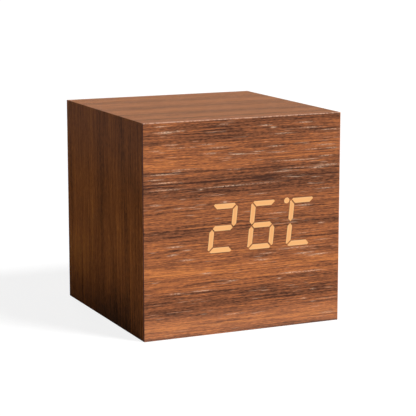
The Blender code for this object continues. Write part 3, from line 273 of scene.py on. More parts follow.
# Colours, sRGB from 0 to 255
WOOD_TONES = ((76, 46, 34), (118, 72, 48), (154, 93, 60), (184, 110, 66), (212, 132, 74))
TOP_TONES = ((84, 54, 37), (123, 79, 51), (149, 97, 62), (166, 106, 66), (182, 118, 72))
SIDE_TONES = ((72, 43, 24), (116, 68, 36), (152, 89, 46), (178, 106, 52), (202, 125, 60))
FLECK = (244, 204, 172)
FIBREBOARD_TONES = ((118, 88, 58), (150, 116, 80), (172, 138, 100))
# the front's top edge: pale worn veneer and a painted highlight
PALE_EDGE_WEAR_AND_HIGHLIGHT = (222, 176, 150)
# a painted highlight along the front's right edge, which faces the lamp
PAINTED_EDGE_HIGHLIGHT = (206, 128, 76)
# painted shade along the front's left edge, on the shaded side
PAINTED_EDGE_SHADE = (72, 24, 6)
DULL_FOOT = (196, 150, 126)
# the colour of the painted cool sheen high on the side walls
PAINTED_COOL_SHEEN = (115, 106, 114)
PINE_TONES = ((150, 112, 70), (176, 140, 94), (200, 166, 118), (216, 184, 138), (226, 198, 156))
LIT_MIDDLE = (247, 181, 115)
LIT_UPRIGHT = (242, 173, 107)
LIT_RIM = (250, 191, 129)
# painted shade in the glow, at the edges of the bars and where two bars meet
PAINTED_BAR_SHADE = (92, 52, 34)
MILKY = (226, 222, 208)
BLACK = (26, 26, 27)
IVORY = (222, 220, 212)
MASK_GREEN = (24, 78, 48)
TRACE_GREEN = (52, 116, 72)
STEEL = (176, 176, 178)
NICKEL = (198, 194, 184)
EPOXY = (30, 30, 32)
JACKET = (34, 92, 104)
JACKET_BAND = (206, 208, 206)
RED = (170, 28, 24)
DARK = (22, 22, 22)
GREY = (128, 130, 134)
MARKING = (206, 206, 204)

# The front's broad bands: height above the ground, place from the middle, reach up and along, and
# how much brighter or darker the wood is there
FRONT_BANDS = (
    (61, 8, 0.9, 32, -0.2), (61.4, 26, 1.2, 14, -0.16), (58.4, -4, 2.2, 30, -0.16),
    (57.5, 24, 0.5, 7, -0.2), (51.2, -25, 2.2, 16, 0.15), (49.6, -29, 1.2, 7, 0.16),
    (52, 18, 1.5, 12, 0.08), (43.9, 2, 3.3, 90, -0.2), (45.4, 16, 1.4, 18, -0.1),
    (42.2, -28, 1, 6, -0.12), (41.6, -5.5, 0.8, 8, -0.14), (44.4, 8.5, 0.9, 9, -0.16),
    (41.9, 24, 1.5, 9, -0.12), (36, -10, 3, 24, 0.04), (31.3, 0, 1.3, 60, -0.16),
    (30.6, -26, 1, 10, -0.14), (31.2, 24, 1.1, 11, -0.25), (31, 4, 0.9, 8, -0.08),
    (27.2, -16, 1.6, 30, 0.08), (22.9, -19.5, 1.1, 5, -0.12), (22.8, 7.5, 1.2, 7, -0.14),
    (19.5, 0, 1.8, 80, 0.17), (19.4, -24, 1.1, 13, 0.16), (21, 20, 0.8, 13, 0.1),
    (15.4, -16, 1.4, 20, 0.06), (10.6, 2, 2.8, 90, -0.22), (15.2, 4, 1.2, 70, 0.08),
    (5, 18, 1.4, 18, 0.1), (13.2, -24, 1, 14, 0.1), (47.2, 5, 1, 70, -0.05),
    (41.5, -10, 1.2, 22, -0.08), (23, 0, 1, 60, 0.1), (17.4, -24, 0.8, 12, 0.1),
    (9.6, 14, 1.2, 14, -0.06), (7.4, -14, 1.2, 22, -0.12), (7, -22, 0.5, 5, -0.14),
    (3.6, 6, 2.2, 80, 0.19), (0.1, 0, 0.3, 80, -0.35), (61.6, -26, 0.5, 8, 0.22),
    (59, -23, 1, 8, -0.11), (56.6, 22, 1, 10, 0.09), (50.8, 20, 1, 10, 0.09),
    (48.4, -6, 1.6, 12, 0.09), (44.6, -22, 1.8, 9, 0.11), (36, -24, 2, 9, 0.1),
    (26, 22, 1.6, 10, 0.13), (25.2, 2, 0.9, 9, 0.08), (22.8, 22, 0.9, 11, -0.15),
    (11.8, 6, 1, 22, -0.13), (9, -22, 1, 10, 0.12), (1.2, 20, 0.8, 12, 0.14),
)

# Its thin dark lines, then its pale flecks: height, place, reach each way, and strength
FRONT_LINES = (
    (60, -10, 6, 0.5), (59, -6, 9, 0.7), (58.3, -27, 6, 0.6), (58.2, -8, 11, 0.7),
    (57.3, -9, 11, 0.6), (56.6, -4, 11, 0.6), (55.7, -2, 9, 0.5), (55.6, -29, 3, 0.4),
    (53.5, -11, 7, 0.5), (52.2, -29, 4, 0.4), (47.7, -20, 8, 0.7), (44.4, -20, 14, 0.6),
    (41.2, -8, 12, 0.4), (40.6, -18, 7, 0.4), (59.1, 25, 6, 0.6), (57.6, 26, 6, 0.5),
    (55.5, 14, 4, 0.5), (53.9, 24.5, 3.5, 0.5), (47.2, 3, 5, 0.4), (44.8, 6.5, 4, 0.6),
    (43.9, 7.5, 3, 0.6), (45.6, 27, 4, 0.7), (44.4, 24, 8, 0.5), (29.4, -21, 10, 0.6),
    (28.7, -29, 3, 0.6), (27.9, -17.5, 4, 0.5), (25.5, -21.4, 2, 0.7), (20.7, -22, 1.5, 0.6),
    (16.8, -25, 6, 0.6), (14, -4, 8, 0.5), (3.7, -8, 8, 0.7), (6.8, -21, 4, 0.5),
    (18.7, 10, 6, 0.5), (18.3, 26, 5, 0.8), (26.2, 24, 8, 0.8), (20.4, 14, 3, 0.5),
    (22.6, 26, 5, 0.5), (9, 14, 4, 0.5), (6.4, 25, 4, 0.5), (3.9, 16, 4, 0.5),
)
FRONT_FLECKS = (
    (59.1, -24.4, 2.6, 0.9), (60.8, -25.6, 1.4, 0.6), (59.3, -19.9, 1.2, 0.6),
    (54, -27.3, 1.5, 0.5), (55.6, -23, 2, 0.4), (54.5, -19.6, 1.4, 0.6), (54.5, -16, 1.1, 0.5),
    (55.1, -11.5, 2, 0.5), (54, -8.3, 2.9, 0.4), (60.5, -6.3, 1.2, 0.5), (52.5, -10.5, 2, 0.5),
    (51.7, -2, 1.8, 0.7), (48.4, -19, 4, 0.45), (47.3, -25, 4, 0.6), (47.5, -3, 2, 0.5),
    (46, -27.3, 2.2, 0.7), (45, -24.4, 3, 0.6), (43, -24, 4, 0.5), (42.4, -13.6, 0.6, 0.9),
    (42.8, -5.5, 6, 0.6), (38.8, -27.3, 1.6, 0.5), (38.3, -6, 1.1, 0.6), (37.5, -20, 1.5, 0.4),
    (33.8, -8.4, 1, 0.5), (59.5, 6.6, 1.6, 0.6), (58.8, 9.2, 0.8, 0.8), (59.7, 19.5, 2.2, 0.7),
    (58.1, 20.7, 3.2, 0.6), (57.2, 28, 3, 0.6), (56.9, 12.5, 2.6, 0.6), (53.3, 9.9, 2, 0.6),
    (52.1, 4.2, 1.6, 0.7), (51.6, 11, 3, 0.5), (51.7, 22, 2.4, 0.5), (52.8, 26, 2.8, 0.5),
    (51.7, 28.2, 1.8, 0.7), (49.6, 26.5, 2, 0.7), (48.9, 16.5, 5.4, 0.6), (46.7, 17.4, 3.6, 0.5),
    (46.3, 23.8, 2.2, 0.8), (46.9, 27, 3.4, 0.6), (45.9, 12.8, 4.2, 0.6), (43.6, 23.1, 1.4, 0.6),
    (43, 6, 5, 0.4), (39.9, 4.6, 2.6, 0.5), (40, 26.7, 2.6, 0.8), (35.5, 19.6, 1.8, 0.6),
    (33.8, 10.7, 3, 0.5), (29.9, 25, 0.9, 0.8), (26.5, -21.4, 2, 0.8), (25.3, -17.8, 1.4, 0.6),
    (24.2, -22.6, 1.1, 0.8), (22.5, -17.8, 1.9, 0.6), (27.3, 19.2, 1.4, 0.5), (24.9, 25.4, 2, 0.4),
    (23.2, 17, 5, 0.6), (22.3, 7.4, 2, 0.5), (21.3, 19, 2, 0.8), (20.7, 24.6, 2.7, 0.7),
    (20.6, 5.6, 2, 0.5), (18.1, -11.8, 1.5, 0.6), (15.2, -3.8, 1.5, 0.6), (13.2, -13, 2.8, 0.7),
    (13, -21, 2, 0.6), (15.9, 15, 3, 0.6), (15.8, 21.6, 3, 0.6), (14.5, 11.4, 0.6, 0.9),
    (10.3, 22.5, 0.7, 0.7), (7.7, 19.4, 0.8, 0.7), (6.5, 22.6, 0.7, 0.7), (2.8, 27.5, 2, 0.6),
    (5.4, -3, 2.8, 0.4),
)

# The top's bands run from left to right: place from front to back and along, reach and amount
TOP_BANDS = (
    (17.5, 0, 3.2, 90, -0.16), (1.5, -4, 3.4, 60, -0.2), (-14, 6, 3.6, 70, -0.22),
    (-24.8, 0, 1.4, 80, -0.18), (9.5, 8, 2, 30, 0.1), (-6, -10, 2, 30, 0.12),
    (-20.5, 5, 1.2, 40, 0.1),
)

# The left wall's bands run upright: place across it and up it, reach across and up, and amount.
# The rows that darken its foot, at heights 0 to 9, are painted shade.
SIDE_BANDS = (
    (-29, 42, 2.4, 34, -0.13), (-34.5, 46, 2, 20, -0.09), (-48, 42, 2.6, 34, -0.15),
    (-53, 46, 2, 20, -0.08), (-22, 30, 7, 9, 0.12), (-7, 15, 9, 7, 0.26), (-46, 3, 16, 7, -0.26),
    (-15, 19, 13, 6, 0.15), (-45, 26, 18, 7, 0.07), (-33, 0, 15, 6, -0.26), (-14, 11, 8, 4, 0.1),
    (-46, 9, 12, 5, -0.07), (-3, 42, 6, 9, -0.07), (-28.5, 50, 3, 16, -0.09),
    (-45, 52, 4, 14, -0.08),
)


def linear(level):
    share = level / 255
    return share / 12.92 if share <= 0.04045 else ((share + 0.055) / 1.055) ** 2.4


def colour(shade):
    return (*map(linear, shade), 1)


class Value:
    """A number that may change over a surface: what one of a finish's nodes gives."""

    def __init__(self, finish, socket):
        self.finish = finish
        self.socket = socket

    def reckon(self, operation, *values):
        return self.finish.node("ShaderNodeMath", {"operation": operation}, dict(enumerate(values)))

    def __add__(self, other):
        return self.reckon("ADD", self, other)

    def __radd__(self, other):
        return self.reckon("ADD", other, self)

    def __sub__(self, other):
        return self.reckon("SUBTRACT", self, other)

    def __rsub__(self, other):
        return self.reckon("SUBTRACT", other, self)

    def __mul__(self, other):
        return self.reckon("MULTIPLY", self, other)

    def __rmul__(self, other):
        return self.reckon("MULTIPLY", other, self)

    def __truediv__(self, other):
        return self.reckon("DIVIDE", self, other)

    def __lt__(self, other):
        return self.reckon("LESS_THAN", self, other)

    def __gt__(self, other):
        return self.reckon("GREATER_THAN", self, other)

    def __abs__(self):
        return self.reckon("ABSOLUTE", self)

    def least(self, other):
        return self.reckon("MINIMUM", self, other)

    def most(self, other):
        return self.reckon("MAXIMUM", self, other)

    def off_middle(self):
        """How far the part after the decimal point is from a half."""
        return abs(self.reckon("FRACT", self) - 0.5)


class Finish:
    """The nodes of one material, or of the world."""

    def __init__(self, owner):
        self.owner = owner
        owner.use_nodes = True
        self.tree = owner.node_tree

    def node(self, kind, settings=None, inputs=None, output=0):
        """A new node. Its settings come first, then the values or links of its sockets."""
        made = self.tree.nodes.new(kind)
        for key, setting in (settings or {}).items():
            if key == "stops":
                set_stops(made.color_ramp, setting)
            else:
                setattr(made, key, setting)
        for key, value in (inputs or {}).items():
            self.feed(made.inputs[key], value)
        return Value(self, made.outputs[output])

    def feed(self, socket, value):
        if isinstance(value, Value):
            self.tree.links.new(value.socket, socket)
        else:
            socket.default_value = value

    def set_shader(self, **inputs):
        """Feeds the sockets of the main shader, named with underscores."""
        shader = self.tree.nodes["Principled BSDF"]
        for key, value in inputs.items():
            self.feed(shader.inputs[key.replace("_", " ")], value)

    def places(self):
        """The place on the object along X, Y and Z, in millimetres."""
        place = self.node("ShaderNodeTexCoord", output="Object")
        inputs = {"Vector": place, "Scale": 1 / MM}
        scaled = self.node("ShaderNodeVectorMath", {"operation": "SCALE"}, inputs)
        split = self.node("ShaderNodeSeparateXYZ", None, {0: scaled})
        return [Value(self, output) for output in split.socket.node.outputs]

    def vector(self, x, y, z):
        return self.node("ShaderNodeCombineXYZ", None, {0: x, 1: y, 2: z})

    def noise(self, place, detail=2, roughness=0.5):
        inputs = {"Vector": self.vector(*place), "Scale": 1, "Detail": detail}
        return self.node("ShaderNodeTexNoise", None, {**inputs, "Roughness": roughness})

    def cloud(self, place, size, detail=2, roughness=0.5):
        """Noise whose patches are as large along X, Y and Z alike."""
        return self.noise([at / size for at in place], detail, roughness)

    def step(self, value, low, high):
        """Rises smoothly from 0 at low to 1 at high."""
        inputs = {"Value": value, "From Min": low, "From Max": high}
        return self.node("ShaderNodeMapRange", {"interpolation_type": "SMOOTHSTEP"}, inputs)

    def spot(self, place, centre, reach):
        """1 at centre, falling softly to nothing a little beyond reach."""
        scale = tuple(1 / length if length else 0 for length in reach)
        shift = tuple(-at * by for at, by in zip(centre, scale))
        kind = "ShaderNodeVectorMath"
        off = self.node(kind, {"operation": "MULTIPLY_ADD"}, {0: place, 1: scale, 2: shift})
        square = self.node(kind, {"operation": "DOT_PRODUCT"}, {0: off, 1: off}, "Value")
        return square.reckon("POWER", math.exp(-1), square)

    def spots(self, place, rows):
        """The sum of soft spots. A row is height, place along, reach up and along, and amount."""
        parts = [
            amount * self.spot(place, (along, height, 0), (long, high, 0))
            for height, along, high, long, amount in rows
        ]
        return sum(parts[1:], parts[0])

    def mix(self, share, first, second):
        return self.node("ShaderNodeMix", {"data_type": "RGBA"}, {0: share, 6: first, 7: second}, 2)

    def ramp(self, value, shades):
        """A colour from evenly spaced shades, from 0 to 1."""
        last = len(shades) - 1
        stops = [(number / last, colour(shade)) for number, shade in enumerate(shades)]
        return self.node("ShaderNodeValToRGB", {"stops": stops}, {0: value})

    def bump(self, height, depth, strength=1):
        inputs = {"Height": height, "Distance": depth, "Strength": strength}
        return self.node("ShaderNodeBump", None, inputs)


def set_stops(ramp, stops):
    while len(ramp.elements) < len(stops):
        ramp.elements.new(1)
    for element, (place, shade) in zip(ramp.elements, stops):
        element.position = place
        element.color = shade


def new_finish(name):
    return Finish(bpy.data.materials.new(name))


def tinted(shade, share, lift=0):
    """The colour made darker or lighter by a share of itself, and lifted."""
    return colour([min(255, share * level + lift) for level in shade])


# Wood


def thin_rows(rows, reach, strength):
    """Marks listed as rows for spots, all equally thin."""
    return [(up, place, reach, long, strength * amount) for up, place, long, amount in rows]


def wood(
    name, grain, tones, seed, bands=(), lines=(), flecks=(), fleck_share=0, contrast=1, broad=0.7,
    gloss=0.1,
):
    """Walnut, laid out so that the grain also turns over the long edges of a wall."""
    finish = new_finish(name)
    x, y, z = finish.places()
    if grain == "front":
        along, level, through = x, z + y - FRONT_Y, z - y
    elif grain == "top":
        along, level, through = x, y + z - HEIGHT, y - z
    else:
        along, level, through = z, x + y, x - y
    through = through / THROUGH_SIZE + seed

    def waves(length, width, height=level):
        return finish.noise((along / length + seed, height / width, through))

    def streaks(length, width, offset, detail=2, roughness=0.55):
        place = (along / length + offset + seed, across / width, through)
        return finish.noise(place, detail, roughness) - 0.5

    quick = waves(*QUICK_WAVE) - 0.5
    across = level + SLOW_SHIFT * (waves(*SLOW_WAVE) - 0.5) + QUICK_SHIFT * quick
    fibre = streaks(*FIBRE_STREAKS)
    line = streaks(*LINE_STREAKS)
    clouds = broad * streaks(*BROAD_STREAKS) + NARROW_TONE * streaks(*NARROW_STREAKS)
    tone = MIDDLE_TONE + contrast * clouds
    if bands:
        wandering = across + BAND_BY_FIBRE * fibre + BAND_BY_LINE * line
        tone = tone + finish.spots(finish.vector(along, wandering, 0), bands)
    if lines or flecks:
        drawn = finish.vector(along, level + DRAWN_BY_QUICK * quick + DRAWN_BY_FIBRE * fibre, 0)
    if lines:
        tone = tone + finish.spots(drawn, thin_rows(lines, LINE_REACH, -LINE_DEPTH))
    thin = HAIR_TONE * streaks(*HAIR_STREAKS)
    short = DASH_TONE * streaks(*DASH_STREAKS)
    tone = tone + contrast * (FIBRE_TONE * fibre + LINE_TONE * line + thin + short)
    pore = finish.step(streaks(*PORE_STREAKS), *PORE_EDGE)
    shade = finish.mix(PORE_SHARE * contrast * pore, finish.ramp(tone, tones), colour(tones[0]))
    if fleck_share:
        cluster = finish.step(waves(*CLUSTER_SIZE, across), *CLUSTER_EDGE)
        mark = fleck_share * cluster * finish.step(streaks(*MARK_STREAKS), *MARK_EDGE)
        if flecks:
            length, width = RAGGED_SIZE
            ragged = finish.noise((along / length, level / width, seed), 1)
            rows = thin_rows(flecks, FLECK_REACH, FLECK_STRENGTH)
            mark = mark + finish.step(ragged, *RAGGED_EDGE) * finish.spots(drawn, rows)
        shade = finish.mix(mark.least(FLECK_LIMIT), shade, colour(FLECK))
    if flecks:
        # the front's edges: wear with a painted highlight and painted shade
        shade = edge_wear_and_painted_light(finish, x, y, z, shade)
    finish.set_shader(
        Base_Color=shade,
        Roughness=WOOD_ROUGHNESS + PORE_ROUGHNESS * pore - FIBRE_SHEEN * fibre,
        Specular_IOR_Level=gloss,
        Normal=finish.bump(fibre - PORE_DEPTH * pore, GRAIN_DEPTH, GRAIN_STRENGTH),
    )
    return finish, shade


def edge_wear_and_painted_light(finish, x, y, z, shade):
    """The front's edges: worn and a painted highlight at the top, a painted highlight at the right,
    painted shade at the left, and a paler, greyer foot.
    """
    ragged = finish.noise((x / WEAR_SIZE, z / WEAR_SIZE, 3), 3, 0.7)
    wear = WEAR_RAGGED * (ragged - 0.5)
    least, more = TOP_EDGE_SHARES
    # the top edge's pale ragged line: worn veneer and a painted highlight
    top = finish.step(z + wear, *TOP_EDGE_Z) * finish.step(y, *TOP_EDGE_Y)
    top = top * (least + more * finish.step(ragged, *WEAR_PATCHES))
    shade = finish.mix(top, shade, colour(PALE_EDGE_WEAR_AND_HIGHLIGHT))
    # painted highlight along the right edge
    right = RIGHT_EDGE_SHARE * finish.step(x + wear, *RIGHT_EDGE_X)
    shade = finish.mix(right, shade, colour(PAINTED_EDGE_HIGHLIGHT))
    # the front made paler and greyer towards its foot
    shade = finish.mix(FOOT_SHARE * finish.step(z, *FOOT_Z), shade, colour(DULL_FOOT))
    # painted shade along the left edge
    return finish.mix(finish.step(x, *LEFT_EDGE_X), shade, colour(PAINTED_EDGE_SHADE))


def walls_wood(name, grain, tones, seed, **looks):
    """Wood for a wall, whose inside shows the bare board."""
    finish, shade = wood(name, grain, tones, seed, **looks)
    x, _, z = place = finish.places()
    # painted cool sheen: the side walls grow cooler and greyer towards their top
    if grain == "upright":
        shade = finish.mix(SHEEN_SHARE * finish.step(z, SHEEN_FROM, HEIGHT), shade, colour(PAINTED_COOL_SHEEN))
    inside = (abs(x) < INSIDE) * (abs(z - HEIGHT / 2) < INSIDE)
    finish.set_shader(Base_Color=finish.mix(inside, shade, fibreboard_shade(finish, place)[1]))
    return finish.owner


def fibreboard_shade(finish, place):
    """Pressed fibres: their height and their colour."""
    fuzz = finish.cloud(place, size=0.35, detail=4, roughness=0.7)
    patches = finish.cloud(place, size=5)
    return fuzz, finish.ramp(0.5 * fuzz + 0.5 * patches, FIBREBOARD_TONES)


def fibreboard():
    finish = new_finish("fibreboard")
    fuzz, shade = fibreboard_shade(finish, finish.places())
    relief = finish.bump(fuzz, depth=0.05 * MM, strength=0.5)
    finish.set_shader(Base_Color=shade, Roughness=0.85, Normal=relief)
    return finish.owner


# Plastics, metals and boards


def moulded(name, shade, roughness=0.5, grain=0.12):
    """Plastic with the fine even texture of a spark-eroded mould."""
    finish = new_finish(name)
    place = finish.places()
    patches = finish.cloud(place, size=9, detail=3)
    body = finish.mix(finish.step(patches, low=0.35, high=0.65), tinted(shade, 0.86), colour(shade))
    finish.set_shader(
        Base_Color=body,
        Roughness=roughness + 0.1 * (patches - 0.5),
        Normal=finish.bump(finish.cloud(place, grain), depth=0.012 * MM, strength=0.5),
    )
    return finish.owner


def metal(name, shade, roughness=0.3):
    """Plated metal with faint cloudy wear."""
    finish = new_finish(name)
    x, y, z = place = finish.places()
    patches = finish.cloud(place, size=2.5, detail=4, roughness=0.6)
    scratches = finish.noise((x / 0.08, y / 1.5, z / 0.3))
    uneven = 0.15
    worn = finish.step(patches, low=0.35, high=0.7)
    finish.set_shader(
        Base_Color=finish.mix(worn, colour(shade), tinted(shade, 0.82)),
        Metallic=1,
        Roughness=roughness + uneven * (scratches - 0.5) + uneven * (patches - 0.5),
    )
    return finish.owner


def circuit_board():
    """Green solder mask over raised tracks, upright in some regions and level in others."""
    finish = new_finish("circuit_board")
    x, _, z = place = finish.places()
    region = finish.cloud(place, size=5, detail=1)
    pitch, reach = 1.27, 0.16
    rising = finish.step(region, 0.49, 0.51) * ((x / pitch).off_middle() < reach)
    level = finish.step(region, 0.49, 0.47) * ((z / pitch).off_middle() < reach)
    tracks = rising + level
    shade = finish.mix(tracks, colour(MASK_GREEN), colour(TRACE_GREEN))
    relief = finish.bump(tracks, depth=0.03 * MM, strength=0.6)
    finish.set_shader(Base_Color=shade, Roughness=0.38, Normal=relief)
    return finish.owner


def insulation(name, shade):
    """A wire's soft plastic skin."""
    finish = new_finish(name)
    rub = finish.cloud(finish.places(), size=1.5, detail=3, roughness=0.6)
    rubbed = tinted(shade, 1.15, 6)
    body = finish.mix(finish.step(rub, low=0.4, high=0.7), colour(shade), rubbed)
    finish.set_shader(Base_Color=body, Roughness=0.42 + 0.2 * rub)
    return finish.owner


def ribbon_skin():
    """Grey ribbon cable: its wires side by side across X, the first one marked red."""
    finish = new_finish("ribbon_skin")
    x = finish.places()[0]
    low, high = (corner[0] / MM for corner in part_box("ribbon_cable"))
    wires = 6
    pitch = (high - low) / wires
    wave = ((x - low) / pitch).off_middle()
    shade = finish.mix(x < low + pitch, colour(GREY), colour(RED))
    # painted shade in the grooves between the wires
    shade = finish.mix(finish.step(wave, low=0.34, high=0.5), shade, colour(DARK))
    relief = finish.bump(1 - wave, depth=0.2 * MM, strength=0.6)
    finish.set_shader(Base_Color=shade, Roughness=0.5, Normal=relief)
    return finish.owner


def lamp_light(finish, base, glow):
    finish.set_shader(Base_Color=base, Roughness=0.6, Specular_IOR_Level=0.1)
    finish.set_shader(Emission_Color=glow, Emission_Strength=1)
    return finish.owner


def lit_bars(number, dark_bars):
    """One digit's bars, lit through the veneer and paler at the rims. The dark ones are milky.

    A dark bar is given by its side and its level, each -1, 0 or 1.
    """
    finish = new_finish(f"lit_bars_{number}")
    x, _, z = finish.places()
    middle = DISPLAY_X + (number - (DIGIT_COUNT + 1) / 2) * DIGIT_PITCH
    up = z - DISPLAY_Z
    right = x - SLANT * up - middle
    outward = (abs(right) - (DIGIT_W - BAR_UPRIGHT) / 2) / BAR_UPRIGHT
    from_middle = abs(up) / BAR_ACROSS
    upward = from_middle - (DIGIT_H / BAR_ACROSS - 1) / 2
    upright = (outward > upward) * (outward > 0 - from_middle)
    dark = [
        upright * (side * right > 0) * (level * up > 0) if side
        else (1 - upright) * (from_middle < 1)
        for side, level in dark_bars
    ]
    lit = 1 - sum(dark[1:], dark[0])
    edge = upright * abs(outward) + (1 - upright) * abs(upward).least(from_middle)
    meeting = abs(outward - upward).least(abs(abs(outward) - from_middle))
    # painted shade at the bars' edges and where two bars meet, mixed into the glow below
    rim = finish.step(edge - UPRIGHT_ROOM * upright, *BAR_EDGE)
    shaded = (1 - finish.step(meeting, *MEETING_SHADE)) + rim
    width, length = GLOW_STREAK
    rising = finish.noise((x / width, z / length, 0))
    level = finish.noise((x / length, z / width, 5))
    ragged = rising * upright + level * (1 - upright) - 0.5
    glow = finish.mix(UPRIGHT_SHARE * upright, colour(LIT_MIDDLE), colour(LIT_UPRIGHT))
    glow = finish.mix(finish.step(edge + GLOW_RAGGED * ragged, *PALE_RIM), glow, colour(LIT_RIM))
    glow = finish.mix(shaded.least(DEEPEST_SHADE), glow, colour(PAINTED_BAR_SHADE))
    base = finish.mix(lit, colour(MILKY), colour(DARK))
    return lamp_light(finish, base, finish.mix(lit, (0, 0, 0, 1), glow))


def lit_dot():
    """The same lamp light in the degree dot, paler towards its rim."""
    finish = new_finish("lit_dot")
    x, _, z = finish.places()
    low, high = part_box("degree_light_bar")
    across, up = ((low[axis] + high[axis]) / 2 / MM for axis in (0, 2))
    radius = (high[0] - low[0]) / 2 / MM
    square = ((x - across) * (x - across) + (z - up) * (z - up)) / radius ** 2
    ragged = finish.noise((x / DOT_STREAK, z / DOT_STREAK, 2)) - 0.5
    pale = finish.step(square + DOT_RAGGED * ragged, *DOT_RIM)
    return lamp_light(finish, colour(DARK), finish.mix(pale, colour(LIT_MIDDLE), colour(LIT_RIM)))


def milky_plastic():
    finish = new_finish("milky_plastic")
    patches = finish.cloud(finish.places(), size=3, detail=3)
    shade = finish.mix(patches, tinted(MILKY, 0.9), colour(MILKY))
    finish.set_shader(Base_Color=shade, Roughness=0.35 + 0.1 * patches, Subsurface_Weight=0.2)
    return finish.owner


def cell_jacket():
    """A battery's printed sleeve: plain, with a pale band and a plus sign round its plus end."""
    finish = new_finish("cell_jacket")
    x, y, z = place = finish.places()
    turned_round = abs(y) < CELL_PITCH / 2
    from_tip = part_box("battery_1")[1][0] / MM - x * (1 - 2 * turned_round)
    band = finish.step(from_tip, *BAND_FROM_TIP)
    off_axis = (y / CELL_PITCH + 0.5).off_middle() * CELL_PITCH
    off_sign = abs(from_tip - SIGN_FROM_TIP)
    rising = (off_sign < SIGN_STROKE) * (off_axis < SIGN_REACH)
    level = (off_sign < SIGN_REACH) * (off_axis < SIGN_STROKE)
    shade = finish.mix(band, colour(JACKET), colour(JACKET_BAND))
    shade = finish.mix((rising + level) * (z < CELL_HEIGHT) * band, shade, colour(DARK))
    uneven = 0.1 * finish.cloud(place, size=6)
    finish.set_shader(Base_Color=shade, Metallic=0.3, Roughness=0.3 + uneven)
    return finish.owner


# Making pieces


def box_between(low, high):
    shape = bmesh.new()
    bmesh.ops.create_cube(shape, size=1)
    low, high = Vector(low), Vector(high)
    bmesh.ops.scale(shape, verts=shape.verts, vec=high - low)
    bmesh.ops.translate(shape, verts=shape.verts, vec=(low + high) / 2)
    return shape


def turned(profile, centre, axis, steps=64):
    """A solid of revolution. The profile is (radius, place along the axis), from pole to pole."""
    shape = bmesh.new()
    points = [shape.verts.new((radius, 0, along)) for radius, along in profile]
    edges = [shape.edges.new(pair) for pair in zip(points, points[1:])]
    bmesh.ops.spin(
        shape, geom=points + edges, cent=(0, 0, 0), axis=Z_AXIS, angle=FULL_TURN, steps=steps,
        use_merge=True,
    )
    bmesh.ops.remove_doubles(shape, verts=shape.verts, dist=MERGE)
    bmesh.ops.recalc_face_normals(shape, faces=shape.faces)
    turn = Z_AXIS.rotation_difference(Vector(axis)).to_matrix().to_4x4()
    bmesh.ops.transform(shape, matrix=Matrix.Translation(centre) @ turn, verts=shape.verts)
    return shape


def rod(radius, near, far, centre, axis, steps=64):
    return turned([(0, near), (radius, near), (radius, far), (0, far)], centre, axis, steps)


def rounded(radius, from_turn, to_turn, centre, steps=4):
    """An arc in a profile, for a soft edge. Turns are in quarters, 0 outwards and 1 along."""
    points = []
    for step in range(steps + 1):
        turn = (from_turn + (to_turn - from_turn) * step / steps) * FULL_TURN / 4
        points.append((centre[0] + radius * math.cos(turn), centre[1] + radius * math.sin(turn)))
    return points


def whole_faces(mesh):
    """The shape of a mesh, its loose triangles merged into whole faces."""
    shape = bmesh.new()
    shape.from_mesh(mesh)
    bmesh.ops.remove_doubles(shape, verts=shape.verts, dist=MERGE)
    bmesh.ops.dissolve_limit(shape, angle_limit=FLAT, verts=shape.verts, edges=shape.edges)
    return shape


def copy_of(node):
    return whole_faces(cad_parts[node].data)


def ease(shape, width, chosen=lambda edge: True, segments=2):
    """Rounds off the sharp outward edges that are chosen."""
    joined = [edge for edge in shape.edges if len(edge.link_faces) == 2 and edge.is_convex]
    edges = [edge for edge in joined if edge.calc_face_angle() > SHARP and chosen(edge)]
    bmesh.ops.bevel(
        shape, geom=edges, offset=width, offset_type="OFFSET", segments=segments, profile=0.5,
        affect="EDGES", clamp_overlap=True, material=-1,
    )
    return shape


def mesh_from(name, shape):
    mesh = bpy.data.meshes.new(name)
    shape.to_mesh(mesh)
    shape.free()
    return mesh


def new_object(name, data):
    made = bpy.data.objects.new(name, data)
    bpy.context.scene.collection.objects.link(made)
    return made


def final_mesh(thing):
    """An object's mesh as it is shown."""
    bpy.context.view_layer.update()
    graph = bpy.context.evaluated_depsgraph_get()
    return bpy.data.meshes.new_from_object(thing.evaluated_get(graph))


def carved(shape, cutters):
    """The shape with the cutters taken out of it."""
    named = [("body", shape)] + [("cutter", cutter) for cutter in cutters]
    made = [new_object(label, mesh_from(label, part)) for label, part in named]
    for cutter in made[1:]:
        step = made[0].modifiers.new("carve", "BOOLEAN")
        step.operation = "DIFFERENCE"
        step.solver = "EXACT"
        step.object = cutter
    mesh = final_mesh(made[0])
    for thing in made:
        bpy.data.objects.remove(thing, do_unlink=True)
    result = bmesh.new()
    result.from_mesh(mesh)
    return result


def piece(name, shape, finishes, nodes=(), body="case"):
    """A finished piece, which rides on a body and stands for the solids named."""
    mesh = mesh_from(name, shape)
    for finish in finishes:
        mesh.materials.append(finish)
    mesh.shade_smooth()
    mesh.set_sharp_from_angle(angle=SHARP)
    made = new_object(name, mesh)
    even = made.modifiers.new("even_shading", "WEIGHTED_NORMAL")
    even.keep_sharp = True
    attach(made, body)
    if nodes:
        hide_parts(*nodes)
    return made


def dress(node, finish):
    """Gives a solid that stays a finish."""
    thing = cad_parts[node]
    if not thing.material_slots:
        thing.data.materials.append(finish)
    for place in thing.material_slots:
        place.material = finish


# The wooden case


def front_sheet(finish):
    shape = copy_of("front_veneer")
    low, high = map(Vector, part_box("front_veneer"))
    planes = [(axis, end[axis]) for end in (low, high) for axis in range(3)]

    def outer(edge):
        on = [all(abs(v.co[axis] - at) < MERGE for v in edge.verts) for axis, at in planes]
        return sum(on) == 2

    piece("veneer_sheet", ease(shape, EASE, outer), [finish], ["front_veneer"])


